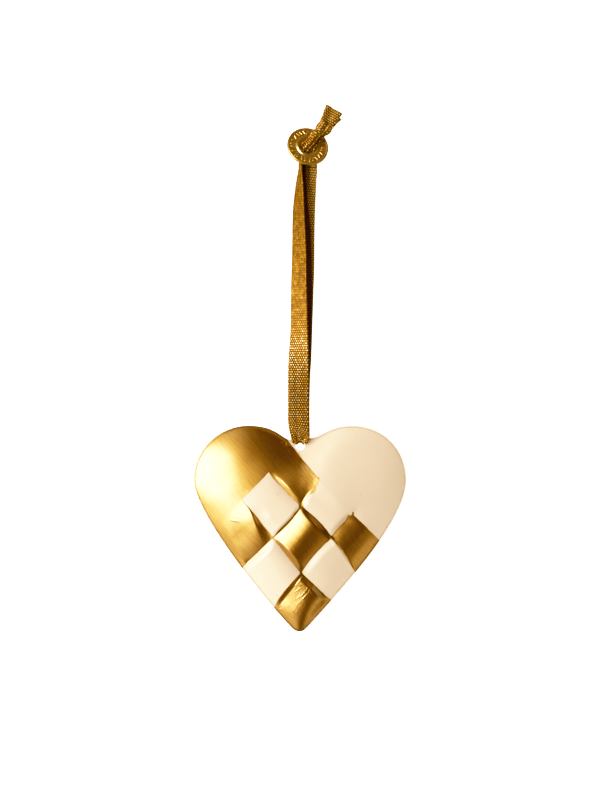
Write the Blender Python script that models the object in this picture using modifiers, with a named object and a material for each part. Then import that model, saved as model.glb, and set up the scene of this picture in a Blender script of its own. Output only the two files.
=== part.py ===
"""Braided metal heart ornament, lying on its back on a table.

A puffed heart of two pressed and painted shells, seamed all round by a
narrow flange, with a three-by-three strip weave pressed into both faces.
A doubled ribbon runs from a punched hole in the notch, up through a small
turned brass tag, and ends in a knot with two short tails.

World frame: metres, +Z up.  The heart's tip points to -Y, the ribbon runs
to +Y, and Z = 0 is the table that the flat land under the back rests on.
Lengths below are in millimetres and are scaled once, at MM.
"""

import math

import bmesh
import bpy
import numpy as np
from mathutils import Matrix, Vector
from mathutils.geometry import delaunay_2d_cdt

MM = 0.001

# ------------------------------------------------------------------ heart
SEAM_HEIGHT = 5.0          # middle of the flange above the table
FLANGE_THICK = 0.9         # the two rolled shell edges together
FLANGE_WIDTH = 0.45        # how far the flange shows outside the dome
FRONT_RISE = 6.4           # front dome above the flange
BACK_RISE = 4.78           # back dome below the flange, before the land is cut
RELIEF_FRONT = 1.0         # depth of the pressed weave, crown to foot
RELIEF_BACK = 0.7
FOOT_SHARE = 0.65          # share of that depth that lies below the dome
WALL_WIDTH = 1.4           # width of a strip's side wall
FADE_IN = 6.0              # the weave rises out of the lobes over this length
RIM_FADE = 3.0             # and sinks into the rim over this one
LAND_FLAT = 6.5            # plain round spot in the middle of the back
LAND_FADE = 4.0

HOLE_CENTRE = (0.03, 25.3)
HOLE_RADIUS = 1.5

# Each lobe: crown point, widest point, start of the tip, with the handle
# lengths of the cubic curves between them.  side is -1 left, +1 right.
LOBES = {
    -1: dict(crown=(15.8, 31.38), wide=(32.4, 14.85), tip=(2.38, -30.44),
             into_notch=7.1, out_of_crown=8.6, above_wide=9.5,
             below_wide=9.4, above_tip=14.6, tip_angle=0.81,
             notch=(3.97, 27.3), notch_handle=3.1, notch_angle=0.51),
    1: dict(crown=(15.7, 31.34), wide=(32.4, 14.8), tip=(1.84, -30.51),
            into_notch=6.7, out_of_crown=9.6, above_wide=9.6,
            below_wide=12.3, above_tip=16.5, tip_angle=0.83,
            notch=(3.61, 27.66), notch_handle=3.0, notch_angle=0.08),
}
TIP_HANDLE = 1.78          # rounds the tip
WEB_HANDLE = 1.0           # top edge of the flat web in the notch
VALLEY = 22.9              # where the two domes meet below the hole
VALLEY_HANDLE = (3.6, 2.5)

# Corners of the weave.  Row i lies on the i-th edge between gold strips
# (they run down to the right), column j on the j-th edge between cream
# strips (they run down to the left).
WEAVE = np.array([
    [(-3.66, 26.99), (5.64, 15.46), (16.07, 4.51), (23.85, -3.20)],
    [(-9.61, 17.23), (0.31, 6.86), (9.46, -2.59), (16.62, -12.96)],
    [(-17.78, 8.81), (-8.24, -2.68), (0.31, -13.57), (8.60, -21.87)],
    [(-25.93, 0.46), (-17.39, -11.59), (-7.63, -23.64), (-0.30, -30.96)],
])

RIM_STEPS = 120            # points round the heart
HOLE_STEPS = 20

# ----------------------------------------------------------------- ribbon
STRAND_SECTIONS = 80
# x, y, z, width, thickness, roll in degrees (right edge lifted), from the
# knot down the upper strand, through the hole, and back up the lower one.
ROUTE = [
    (5.70, 120.70, 4.10, 1.4, 1.1, -60),
    (3.30, 118.60, 4.45, 1.4, 1.2, -70),
    (1.60, 116.50, 3.85, 1.4, 1.2, -80),
    (1.05, 115.00, 3.25, 1.5, 0.9, -82),
    (0.65, 113.40, 3.05, 2.4, 0.75, -84),
    (0.30, 111.80, 3.15, 4.0, 0.6, -84),
    (0.10, 109.90, 3.35, 5.8, 0.45, -82),
    (-0.20, 104.80, 3.60, 6.4, 0.45, -70),
    (-0.41, 95.60, 3.25, 6.4, 0.45, -56),
    (-0.30, 82.00, 3.05, 6.4, 0.45, -46),
    (-0.37, 71.50, 2.95, 6.4, 0.45, -40),
    (-0.26, 60.50, 3.05, 6.4, 0.45, -33),
    (-0.50, 48.00, 4.00, 6.4, 0.45, -6),
    (-0.50, 40.00, 5.25, 6.4, 0.45, 0),
    (-0.50, 34.00, 6.25, 6.4, 0.45, 0),
    (-0.45, 30.60, 6.75, 6.0, 0.45, 0),
    (-0.10, 28.30, 6.60, 5.0, 0.55, 0),
    (0.15, 26.90, 6.20, 3.6, 0.65, 0),
    (0.08, 26.05, 5.85, 2.0, 0.60, 0),
    (0.03, 25.68, 5.00, 1.8, 0.60, 0),
    (0.08, 26.05, 4.15, 2.0, 0.60, 0),
    (0.10, 26.90, 3.80, 3.6, 0.65, 0),
    (0.00, 28.40, 3.40, 5.0, 0.55, 0),
    (-0.25, 30.80, 2.65, 6.0, 0.45, 0),
    (-0.30, 35.00, 1.50, 6.4, 0.45, 0),
    (-0.25, 40.00, 0.85, 6.4, 0.45, 0),
    (-0.10, 46.00, 0.55, 6.4, 0.45, 0),
    (0.30, 53.00, 0.50, 6.4, 0.45, 0),
    (0.60, 62.00, 0.50, 6.4, 0.45, 0),
    (0.90, 71.00, 0.50, 6.4, 0.45, 0),
    (1.20, 80.00, 0.50, 6.4, 0.45, 0),
    (1.30, 90.00, 0.55, 6.4, 0.45, 4),
    (1.55, 98.60, 0.95, 6.4, 0.45, 12),
    (2.10, 104.80, 1.85, 6.0, 0.45, 28),
    (2.75, 109.90, 2.30, 5.0, 0.50, 40),
    (2.95, 111.90, 2.25, 3.6, 0.70, 46),
    (3.05, 113.70, 2.30, 2.0, 0.90, 56),
    (3.15, 115.20, 2.85, 1.4, 1.10, 66),
    (3.40, 116.60, 3.75, 1.4, 1.20, 70),
    (4.85, 118.05, 4.35, 1.4, 1.20, 65),
    (6.85, 119.65, 4.10, 1.4, 1.10, 60),
]
KNOT_RUN = (0.69, 0.73)    # heading from the tag to the knot

# knot and tails: x, y, z, half width, half thickness
KNOT = [
    (6.90, 121.05, 3.75, 1.3, 0.9),
    (7.05, 121.35, 3.30, 2.1, 1.7),
    (7.65, 122.30, 2.75, 2.6, 2.3),
    (8.30, 123.40, 2.50, 2.3, 1.9),
    (8.72, 124.32, 2.20, 2.1, 1.2),
    (9.30, 125.60, 1.60, 2.35, 0.8),
    (9.92, 126.85, 1.20, 2.65, 0.6),
    (10.50, 127.95, 1.00, 2.9, 0.55),
]

# -------------------------------------------------------------------- tag
TAG_RADIUS = 6.4
TAG_HOLE = 2.25
TAG_CENTRE = (2.35, 116.6, 3.95)
TAG_TILT = 30.0            # degrees from lying flat
TAG_LIFT_HEADING = -115.0  # heading of its raised edge
TAG_PROFILE = [            # radius, height; outer side runs downwards
    (5.80, 0.45), (6.20, 0.48), (6.40, 0.30), (6.40, -0.30), (6.20, -0.45),
    (TAG_HOLE, -0.45), (TAG_HOLE, -0.10), (3.00, 0.00), (3.60, 0.22),
    (5.60, 0.25),
]


# ------------------------------------------------------------ small tools
def material(name, colour, roughness, metallic):
    mat = bpy.data.materials.new(name)
    mat.use_nodes = True
    shader = mat.node_tree.nodes["Principled BSDF"]
    shader.inputs["Base Color"].default_value = (*colour, 1.0)
    shader.inputs["Roughness"].default_value = roughness
    shader.inputs["Metallic"].default_value = metallic
    return mat


def smooth(t):
    t = np.clip(t, 0.0, 1.0)
    return t * t * (3.0 - 2.0 * t)


def cubic(p0, p1, p2, p3, steps=48):
    t = np.linspace(0.0, 1.0, steps + 1)[:, None]
    p0, p1, p2, p3 = (np.array(p, float) for p in (p0, p1, p2, p3))
    return ((1 - t) ** 3 * p0 + 3 * (1 - t) ** 2 * t * p1
            + 3 * (1 - t) * t * t * p2 + t ** 3 * p3)


def even(points, count, closed=True):
    """The same curve with its points spaced evenly along it."""
    pts = np.vstack([points, points[:1]]) if closed else points
    keep = np.r_[True, np.linalg.norm(np.diff(pts, axis=0), axis=1) > 1e-9]
    pts = pts[keep]
    run = np.r_[0, np.cumsum(np.linalg.norm(np.diff(pts, axis=0), axis=1))]
    at = np.linspace(0, run[-1], count + (1 if closed else 0))
    if closed:
        at = at[:-1]
    return np.column_stack([np.interp(at, run, pts[:, k]) for k in (0, 1)])


# ---------------------------------------------------------- heart outline
def lobe(side, inset, with_web):
    """From the notch over the crown and the widest point to the tip."""
    s = LOBES[side]
    crown = np.array([side * s["crown"][0], s["crown"][1] - inset])
    wide = np.array([side * (s["wide"][0] - inset), s["wide"][1]])
    down = np.array([side * math.cos(s["tip_angle"]), math.sin(s["tip_angle"])])
    inward = np.array([-side * math.sin(s["tip_angle"]), math.cos(s["tip_angle"])])
    tip = np.array([side * s["tip"][0], s["tip"][1]]) + inset * inward
    if with_web:
        start = np.array([side * s["notch"][0], s["notch"][1]])
        lean = np.array([side * math.cos(s["notch_angle"]), math.sin(s["notch_angle"])])
        leave = start + lean * s["notch_handle"]
    else:
        start = np.array([0.0, VALLEY])
        leave = start + np.array([side * VALLEY_HANDLE[0], VALLEY_HANDLE[1]])
    first = cubic(start, leave, crown - (side * s["into_notch"], 0), crown)
    second = cubic(crown, crown + (side * s["out_of_crown"], 0),
                   wide + (0, s["above_wide"]), wide)
    third = cubic(wide, wide - (0, s["below_wide"]), tip + down * s["above_tip"], tip)
    return np.vstack([first, second[1:], third[1:]]), tip, down, start, leave


def outline(inset=0.0, with_web=True, count=RIM_STEPS):
    """Closed heart outline, anticlockwise from the notch."""
    left, tip_l, down_l, notch_l, leave_l = lobe(-1, inset, with_web)
    right, tip_r, down_r, notch_r, leave_r = lobe(1, inset, with_web)
    tip = cubic(tip_l, tip_l - down_l * TIP_HANDLE, tip_r - down_r * TIP_HANDLE, tip_r, 12)
    parts = [left, tip[1:-1], right[::-1]]
    if with_web:
        web = cubic(notch_r, notch_r - (leave_r - notch_r) / 3 * WEB_HANDLE,
                    notch_l - (leave_l - notch_l) / 3 * WEB_HANDLE, notch_l, 8)
        parts.append(web[1:-1])
    return even(np.vstack(parts), count)


# ------------------------------------------------------- inflated profile
def inflate(points, loop):
    """Smooth height field over a closed loop: 0 on it, like the distance
    to it near it, and rounding off towards the middle."""
    a, b = loop, np.roll(loop, -1, axis=0)
    edge = b - a
    size = np.linalg.norm(edge, axis=1)
    unit = edge / size[:, None]
    total = np.zeros(len(points))
    for start in range(0, len(points), 2000):
        p = points[start:start + 2000, None, :]
        to_a, to_b = a[None] - p, b[None] - p
        height = (to_a[..., 0] * to_b[..., 1] - to_a[..., 1] * to_b[..., 0]) / size
        height = np.where(np.abs(height) < 1e-7, 1e-7, height)
        end = (to_b * unit).sum(-1) / np.linalg.norm(to_b, axis=-1)
        begin = (to_a * unit).sum(-1) / np.linalg.norm(to_a, axis=-1)
        total[start:start + 2000] = ((end - begin) / height).sum(-1)
    return 2.0 / np.maximum(total, 1e-6)


def distance(points, loop):
    a, b = loop, np.roll(loop, -1, axis=0)
    edge = b - a
    out = np.full(len(points), 1e9)
    for k in range(len(a)):
        rel = points - a[k]
        t = np.clip(rel @ edge[k] / (edge[k] @ edge[k]), 0, 1)
        out = np.minimum(out, np.linalg.norm(rel - t[:, None] * edge[k], axis=1))
    return out


def inside(points, loop):
    a, b = loop, np.roll(loop, -1, axis=0)
    x, y = points[:, 0:1], points[:, 1:2]
    cross = (a[:, 1] > y) != (b[:, 1] > y)
    with np.errstate(divide="ignore", invalid="ignore"):
        at = a[:, 0] + (y - a[:, 1]) * (b[:, 0] - a[:, 0]) / (b[:, 1] - a[:, 1])
    return (cross & (x < at)).sum(1) % 2 == 1


# ------------------------------------------------------------------ weave
def basis(t):
    """Cubic through the four knots 0..3, straight beyond them."""
    c = np.clip(t, 0.0, 3.0)
    value, slope = [], []
    for i in range(4):
        others = [k for k in range(4) if k != i]
        scale = np.prod([i - k for k in others])
        value.append(np.prod([c - k for k in others], axis=0) / scale)
        slope.append(sum(np.prod([c - k for k in others if k != m], axis=0)
                         for m in others) / scale)
    value, slope = np.array(value), np.array(slope)
    return value + slope * (t - c), slope


def weave_point(a, b):
    """Plan position of weave coordinates, and its two derivatives."""
    va, sa = basis(np.asarray(a, float))
    vb, sb = basis(np.asarray(b, float))
    at = np.einsum("in,jn,ijk->nk", va, vb, WEAVE)
    da = np.einsum("in,jn,ijk->nk", sa, vb, WEAVE)
    db = np.einsum("in,jn,ijk->nk", va, sb, WEAVE)
    return at, da, db


def weave_coords(points):
    """Weave coordinates of plan positions."""
    flat = np.column_stack([WEAVE[3, 0] - WEAVE[0, 0], WEAVE[0, 3] - WEAVE[0, 0]]) / 3
    ab = np.linalg.solve(flat, (points - WEAVE[0, 0]).T)
    for _ in range(12):
        at, da, db = weave_point(ab[0], ab[1])
        det = da[:, 0] * db[:, 1] - da[:, 1] * db[:, 0]
        r = points - at
        ab = ab + 0.9 * np.array([(r[:, 0] * db[:, 1] - r[:, 1] * db[:, 0]) / det,
                                  (r[:, 1] * da[:, 0] - r[:, 0] * da[:, 1]) / det])
    return ab[0], ab[1]


def relief(points):
    """Weave relief, from -FOOT_SHARE at a strip's foot to 1-FOOT_SHARE."""
    a, b = weave_coords(points)
    _, da, db = weave_point(a, b)
    det = np.abs(da[:, 0] * db[:, 1] - da[:, 1] * db[:, 0])
    size_a = det / np.linalg.norm(db, axis=1)
    size_b = det / np.linalg.norm(da, axis=1)
    block = (a > 0) & (b > 0) & (a < 3.2) & (b < 3.2)
    row = np.clip(np.floor(a), 0, 2)
    col = np.clip(np.floor(b), 0, 2)
    fa, fb = a - row, b - col
    gold = (row + col) % 2 == 0
    across = np.where(gold, fa, fb)
    across_size = np.where(gold, size_a, size_b)
    along = np.where(gold, fb, fa)
    lane = np.where(gold, row, col)
    step = np.where(gold, col, row)
    wall = smooth(across * across_size / WALL_WIDTH)
    wall = wall * np.where(lane == 2, 1.0, smooth((1 - across) * across_size / WALL_WIDTH))
    swing = 2 * along - 1
    swing = np.where((step == 0) & (swing < 0), 0.0, swing)
    swing = np.where((step == 2) & (swing > 0), 0.0, swing)
    arch = 1.0 - np.abs(swing) ** 2.2
    fade = smooth(a * size_a / FADE_IN) * smooth(b * size_b / FADE_IN)
    return np.where(block, fade * (arch * wall - FOOT_SHARE), 0.0)


# ------------------------------------------------------------- heart mesh
def field_points(spacing_in, loop):
    """Plan points that follow the weave's own lines."""
    steps = [k + f for k in range(3) for f in (0.0, 0.05, 0.11, 0.3, 0.5, 0.7, 0.89, 0.95)] + [3.0]
    lobes = list(-np.arange(0.22, 3.0, 0.22))
    rows = sorted(lobes + steps)
    a, b = np.meshgrid(rows, rows)
    at, _, _ = weave_point(a.ravel(), b.ravel())
    keep = inside(at, loop)
    at = at[keep]
    return at[distance(at, loop) > spacing_in]


def side_mesh(front, rim, seam, hole):
    """Plan points, heights and triangles of one shell."""
    mirror = np.array([1.0 if front else -1.0, 1.0])
    rings = [outline(1.1 + FLANGE_WIDTH, False, 110), outline(3.1 + FLANGE_WIDTH, False, 80)]
    rings = [r[inside(r, seam)] for r in rings]
    rings = [r[distance(r, seam) > 0.7 + 0.7 * k] for k, r in enumerate(rings)]
    body = field_points(4.0, seam * mirror) * mirror
    middle = np.array([0.0, LAND_CENTRE])
    if not front:
        away = np.linalg.norm(body - middle, axis=1)
        body = body[(away > LAND_FLAT - 2.0)]
        ring = [middle + r * np.array([math.cos(t), math.sin(t)])
                for r, n in ((0.0, 1), (2.5, 8), (4.6, 16))
                for t in np.arange(n) * 2 * math.pi / n]
        body = np.vstack([body, ring])
    loops = [rim, seam, hole]
    points = np.vstack(loops + rings + [body])
    edges, base = [], 0
    for loop in loops:
        n = len(loop)
        edges += [(base + k, base + (k + 1) % n) for k in range(n)]
        base += n
    plan, _, faces, source, _, _ = delaunay_2d_cdt(
        [Vector((float(x), float(y))) for x, y in points], edges,
        [list(range(len(rim)))], 1, 1e-7)
    plan = np.array([tuple(p) for p in plan])
    centres = np.array([plan[list(f)].mean(0) for f in faces])
    open_ = np.linalg.norm(centres - HOLE_CENTRE, axis=1) > HOLE_RADIUS * 0.97
    faces = [tuple(f) for f, k in zip(faces, open_) if k]
    inner = inside(plan, seam) & (distance(plan, seam) > 1e-4)
    lift = np.zeros(len(plan))
    puff = inflate(plan[inner], seam)
    share = puff / PEAK
    press = relief(plan[inner] * mirror) * smooth(puff / RIM_FADE)
    if front:
        lift[inner] = FRONT_RISE * share + RELIEF_FRONT * press
        height = SEAM_HEIGHT + FLANGE_THICK / 2 + np.maximum(lift, 0.0)
    else:
        away = np.linalg.norm(plan[inner] - middle, axis=1)
        plain = smooth((away - LAND_FLAT) / LAND_FADE)
        lift[inner] = BACK_RISE * share + RELIEF_BACK * press * plain
        height = SEAM_HEIGHT - FLANGE_THICK / 2 - np.maximum(lift, 0.0)
        height = np.maximum(height, 0.0)
    return plan, height, faces


def make_heart(mat):
    rim = outline()
    seam = outline(FLANGE_WIDTH, False)
    turn = np.arange(HOLE_STEPS) * 2 * math.pi / HOLE_STEPS
    hole = np.array(HOLE_CENTRE) + HOLE_RADIUS * np.column_stack([np.cos(turn), np.sin(turn)])
    bm = bmesh.new()
    shells = []
    for front in (True, False):
        plan, height, faces = side_mesh(front, rim, seam, hole)
        verts = [bm.verts.new((x * MM, y * MM, z * MM))
                 for (x, y), z in zip(plan, height)]
        for face in faces:
            corner = [verts[i] for i in face]
            a, b, c = (v.co for v in corner)
            up = (b - a).to_2d().cross((c - a).to_2d()) > 0
            if up != front:
                corner.reverse()
            bm.faces.new(corner)
        shells.append(verts)
    bm.verts.index_update()
    # The rolled edge and the punched hole close the two shells: both loops
    # are the first points of each shell, in the same order.
    top, under = shells
    n, m = len(rim), len(seam)
    for start, count in ((0, n), (n + m, HOLE_STEPS)):
        for k in range(count):
            i, j = start + k, start + (k + 1) % count
            bm.faces.new((top[i], top[j], under[j], under[i]))
    bmesh.ops.recalc_face_normals(bm, faces=bm.faces)
    bmesh.ops.triangulate(bm, faces=[f for f in bm.faces if len(f.verts) > 3])
    return finish_mesh("heart", bm, mat, 40)


def finish_mesh(name, bm, mat, sharp):
    mesh = bpy.data.meshes.new(name)
    bm.to_mesh(mesh)
    bm.free()
    mesh.materials.append(mat)
    mesh.shade_smooth()
    mesh.set_sharp_from_angle(angle=math.radians(sharp))
    return bpy.data.objects.new(name, mesh)


# ----------------------------------------------------------------- lofts
def spline(rows, count):
    """Smooth curve through rows of numbers, sampled evenly by length."""
    rows = np.array(rows, float)
    fine = []
    last = len(rows) - 1
    for k in range(last):
        p = [rows[max(k - 1, 0)], rows[k], rows[k + 1], rows[min(k + 2, last)]]
        for t in np.arange(24) / 24:
            fine.append(0.5 * (2 * p[1] + (p[2] - p[0]) * t
                               + (2 * p[0] - 5 * p[1] + 4 * p[2] - p[3]) * t ** 2
                               + (3 * p[1] - p[0] - 3 * p[2] + p[3]) * t ** 3))
    fine = np.array(fine + [rows[-1]])
    run = np.r_[0, np.cumsum(np.linalg.norm(np.diff(fine[:, :3], axis=0), axis=1))]
    # closer stations where the route turns hard
    turn = np.zeros(len(fine))
    way = np.diff(fine[:, :3], axis=0)
    way /= np.maximum(np.linalg.norm(way, axis=1), 1e-9)[:, None]
    turn[1:-1] = np.arccos(np.clip((way[1:] * way[:-1]).sum(1), -1, 1))
    load = run / run[-1] + 0.16 * np.cumsum(turn)
    at = np.linspace(0, load[-1], count)
    return np.column_stack([np.interp(at, load, fine[:, k]) for k in range(fine.shape[1])])


def loft(name, stations, sides, mat, corners=8):
    """Closed loft of rounded sections: centre, half width, half thickness."""
    bm = bmesh.new()
    rings = []
    centres = stations[:, :3]
    way = np.gradient(centres, axis=0)
    way /= np.linalg.norm(way, axis=1)[:, None]
    for k, row in enumerate(stations):
        t = Vector(way[k])
        side = Vector(sides[k])
        side = (side - side.dot(t) * t).normalized()
        up = side.cross(t)
        roll = math.radians(row[5]) if len(row) > 5 else 0.0
        wide = side * math.cos(roll) + up * math.sin(roll)
        tall = up * math.cos(roll) - side * math.sin(roll)
        ring = []
        for c in range(corners):
            ang = 2 * math.pi * (c + 0.5) / corners
            cx, cy = math.cos(ang), math.sin(ang)
            # flattened section with soft corners
            cx = math.copysign(abs(cx) ** 0.55, cx)
            cy = math.copysign(abs(cy) ** 0.55, cy)
            scale = 1.0 / max(abs(math.cos(math.pi / corners)) ** 0.55, 1e-6)
            at = Vector(row[:3]) + wide * (row[3] * cx * scale) + tall * (row[4] * cy * scale)
            ring.append(bm.verts.new(at * MM))
        rings.append(ring)
    for one, two in zip(rings[:-1], rings[1:]):
        for c in range(corners):
            d = (c + 1) % corners
            bm.faces.new((one[c], one[d], two[d], two[c]))
    bm.faces.new(rings[0])
    bm.faces.new(rings[-1])
    bmesh.ops.recalc_face_normals(bm, faces=bm.faces)
    bmesh.ops.triangulate(bm, faces=bm.faces)
    return finish_mesh(name, bm, mat, 50)


def make_ribbon(mat):
    rows = np.array(ROUTE, float)
    rows[:, 3:5] *= 0.5
    # The upper strand runs towards the heart, so its lift is measured the
    # other way round its own heading.
    stations = spline(rows, STRAND_SECTIONS)
    run = np.array([KNOT_RUN[1], -KNOT_RUN[0], 0.0])
    blend = smooth((stations[:, 1] - 114.0) / 4.0)[:, None]
    sides = (1 - blend) * np.array([1.0, 0, 0]) + blend * run
    return loft("ribbon_loop", stations, sides, mat)


def make_knot(mat):
    rows = [row + (0.0,) for row in KNOT]
    stations = spline(rows, 22)
    sides = np.tile([0.81, -0.59, 0.0], (len(stations), 1))
    return loft("ribbon_knot", stations, sides, mat, corners=12)


def make_tag(mat):
    """Turned disc: a profile swept round its axis."""
    mesh = bpy.data.meshes.new("brass_tag")
    count = len(TAG_PROFILE)
    mesh.from_pydata([(r * MM, 0.0, z * MM) for r, z in TAG_PROFILE],
                     [(k, (k + 1) % count) for k in range(count)], [])
    mesh.materials.append(mat)
    tag = bpy.data.objects.new("brass_tag", mesh)
    screw = tag.modifiers.new("turned", "SCREW")
    screw.axis = "Z"
    screw.angle = 2 * math.pi
    screw.steps = screw.render_steps = 48
    screw.use_merge_vertices = True
    screw.merge_threshold = 0.000001
    screw.use_normal_calculate = True
    screw.use_smooth_shade = True
    heading = math.radians(TAG_LIFT_HEADING)
    axis = Vector((math.sin(heading), -math.cos(heading), 0.0))
    tag.matrix_world = (Matrix.Translation(Vector(TAG_CENTRE) * MM)
                        @ Matrix.Rotation(math.radians(TAG_TILT), 4, axis))
    return tag


# ------------------------------------------------------------------ build
SEAM_LOOP = outline(FLANGE_WIDTH, False)
_x, _y = np.meshgrid(np.linspace(-4, 4, 17), np.linspace(-4, 12, 33))
_probe = np.column_stack([_x.ravel(), _y.ravel()])
_puff = inflate(_probe, SEAM_LOOP)
PEAK = float(_puff.max())
LAND_CENTRE = float(_probe[int(_puff.argmax()), 1])


def main():
    for old in list(bpy.data.objects):
        bpy.data.objects.remove(old, do_unlink=True)
    parts = bpy.data.collections.new("braided_metal_heart_ornament")
    bpy.context.scene.collection.children.link(parts)
    painted = material("gold_and_cream_paint", (0.80, 0.60, 0.30), 0.28, 0.8)
    lurex = material("gold_ribbon", (0.45, 0.24, 0.05), 0.5, 0.3)
    brass = material("brass", (0.62, 0.42, 0.14), 0.3, 1.0)
    for piece in (make_heart(painted), make_ribbon(lurex), make_knot(lurex), make_tag(brass)):
        parts.objects.link(piece)


main()
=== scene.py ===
"""Looks of a braided metal heart ornament, lying on its back.

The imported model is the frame.  Four modelled pieces stand for its four
nodes: the pressed and painted heart, the woven gold ribbon, its knot with
two cut tails, and the turned brass tag.  Lengths below are millimetres
and are scaled once, at MM.
"""

import math

import bpy
import numpy as np
from mathutils import Matrix, Vector
from mathutils.geometry import delaunay_2d_cdt


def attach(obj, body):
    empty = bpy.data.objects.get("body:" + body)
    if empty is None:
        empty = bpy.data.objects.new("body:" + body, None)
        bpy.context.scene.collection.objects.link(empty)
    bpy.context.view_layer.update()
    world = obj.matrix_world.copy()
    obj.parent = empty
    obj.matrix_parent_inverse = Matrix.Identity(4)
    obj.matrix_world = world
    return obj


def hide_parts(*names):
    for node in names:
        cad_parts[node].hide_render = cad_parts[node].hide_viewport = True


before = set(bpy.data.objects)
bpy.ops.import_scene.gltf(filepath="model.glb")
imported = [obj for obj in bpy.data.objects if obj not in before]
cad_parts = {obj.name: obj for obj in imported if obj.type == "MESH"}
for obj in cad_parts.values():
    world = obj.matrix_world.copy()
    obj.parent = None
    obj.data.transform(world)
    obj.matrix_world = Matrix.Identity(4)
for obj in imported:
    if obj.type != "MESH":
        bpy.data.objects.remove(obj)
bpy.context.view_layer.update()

MM = 0.001
scene = bpy.context.scene
scene.view_settings.view_transform = "Standard"
scene.view_settings.use_curve_mapping = True
tone = scene.view_settings.curve_mapping
tone.white_level = (1.5, 1.5, 1.5)
for x, y in ((0.01, 0.004), (0.03, 0.0155), (0.06, 0.038), (0.10, 0.072), (0.15, 0.119),
             (0.22, 0.195), (0.32, 0.315), (0.45, 0.475), (0.60, 0.645), (0.75, 0.785),
             (0.90, 0.885), (1.05, 0.950), (1.25, 0.985)):
    tone.curves[3].points.new(x / 1.5, y)
# blue falls away in the dark tones
for x, y in ((0.0044, 0.0024), (0.0130, 0.0029), (0.0176, 0.0052), (0.0242, 0.0086),
             (0.0319, 0.0160), (0.0409, 0.0252), (0.0595, 0.0395), (0.0802, 0.0595),
             (0.1070, 0.0865), (0.1384, 0.1221), (0.1683, 0.1620), (0.2307, 0.2462),
             (0.2918, 0.3095), (0.3763, 0.3916), (0.5149, 0.5210), (0.6795, 0.6795)):
    tone.curves[2].points.new(x, y)
tone.update()


# =============================================================== camera
VIEW_TALL = 0.244          # metres seen from top to bottom
CAMERA_RANGE = 1.6
camera_data = bpy.data.cameras.new("camera")
camera_data.sensor_width = 36.0
camera_data.lens = 36.0 * CAMERA_RANGE / VIEW_TALL
camera_data.clip_start = 0.1
camera_data.clip_end = 10.0
camera = bpy.data.objects.new("camera", camera_data)
camera.location = (0.0, 0.0392, CAMERA_RANGE + 0.006)
scene.collection.objects.link(camera)
scene.camera = camera


# ========================================================== small tools
def smooth(t):
    t = np.clip(t, 0.0, 1.0)
    return t * t * (3.0 - 2.0 * t)


def unit(v):
    return v / np.maximum(np.linalg.norm(v, axis=-1, keepdims=True), 1e-12)


def spline(rows, count=None, step=None):
    """Smooth curve through rows of numbers, evenly spaced along x, y, z."""
    rows = np.array(rows, float)
    fine = []
    last = len(rows) - 1
    for k in range(last):
        p = [rows[max(k - 1, 0)], rows[k], rows[k + 1], rows[min(k + 2, last)]]
        for t in np.arange(40) / 40:
            fine.append(0.5 * (2 * p[1] + (p[2] - p[0]) * t
                               + (2 * p[0] - 5 * p[1] + 4 * p[2] - p[3]) * t ** 2
                               + (3 * p[1] - p[0] - 3 * p[2] + p[3]) * t ** 3))
    fine = np.array(fine + [rows[-1]])
    run = np.r_[0, np.cumsum(np.linalg.norm(np.diff(fine[:, :3], axis=0), axis=1))]
    if count is None:
        count = int(round(run[-1] / step)) + 1
    at = np.linspace(0, run[-1], count)
    return np.column_stack([np.interp(at, run, fine[:, k]) for k in range(fine.shape[1])])


def scramble(*keys):
    """Repeatable pseudo-random numbers in 0..1 from whole-number keys."""
    total = np.zeros(np.broadcast(*keys).shape)
    for k, key in enumerate(keys):
        total = total + np.asarray(key, float) * (12.9898 + 65.233 * k)
    return np.mod(np.sin(total) * 43758.5453, 1.0)


def ripple(x, y, seed, scale):
    """Soft pseudo-random waves in about -1..1, scale millimetres long."""
    out = 0.0
    for k in range(5):
        turn = 2.4 * k + 1.7 * seed
        rate = (0.8 + 0.23 * k) * 2 * math.pi / scale
        out = out + np.sin((x * math.cos(turn) + y * math.sin(turn)) * rate + 3.1 * seed * (k + 1))
    return out / 2.6


def mesh_object(name, points, faces, material, sharp=None):
    """Mesh from an array of points in millimetres and an array of faces."""
    mesh = bpy.data.meshes.new(name)
    faces = [np.asarray(f) for f in faces]
    total = sum(f.size for f in faces)
    count = sum(len(f) for f in faces)
    mesh.vertices.add(len(points))
    mesh.vertices.foreach_set("co", (points * MM).astype(np.float32).ravel())
    mesh.loops.add(total)
    mesh.loops.foreach_set("vertex_index", np.concatenate([f.ravel() for f in faces]).astype(np.int32))
    sizes = np.concatenate([np.full(len(f), f.shape[1]) for f in faces])
    mesh.polygons.add(count)
    mesh.polygons.foreach_set("loop_start", np.r_[0, np.cumsum(sizes)[:-1]].astype(np.int32))
    mesh.update(calc_edges=True)
    mesh.validate()
    mesh.materials.append(material)
    mesh.shade_smooth()
    if sharp:
        mesh.set_sharp_from_angle(angle=math.radians(sharp))
    piece = bpy.data.objects.new(name, mesh)
    scene.collection.objects.link(piece)
    return piece


def attribute(piece, name, values):
    layer = piece.data.attributes.new(name, "FLOAT", "POINT")
    layer.data.foreach_set("value", np.asarray(values, np.float32))


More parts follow.
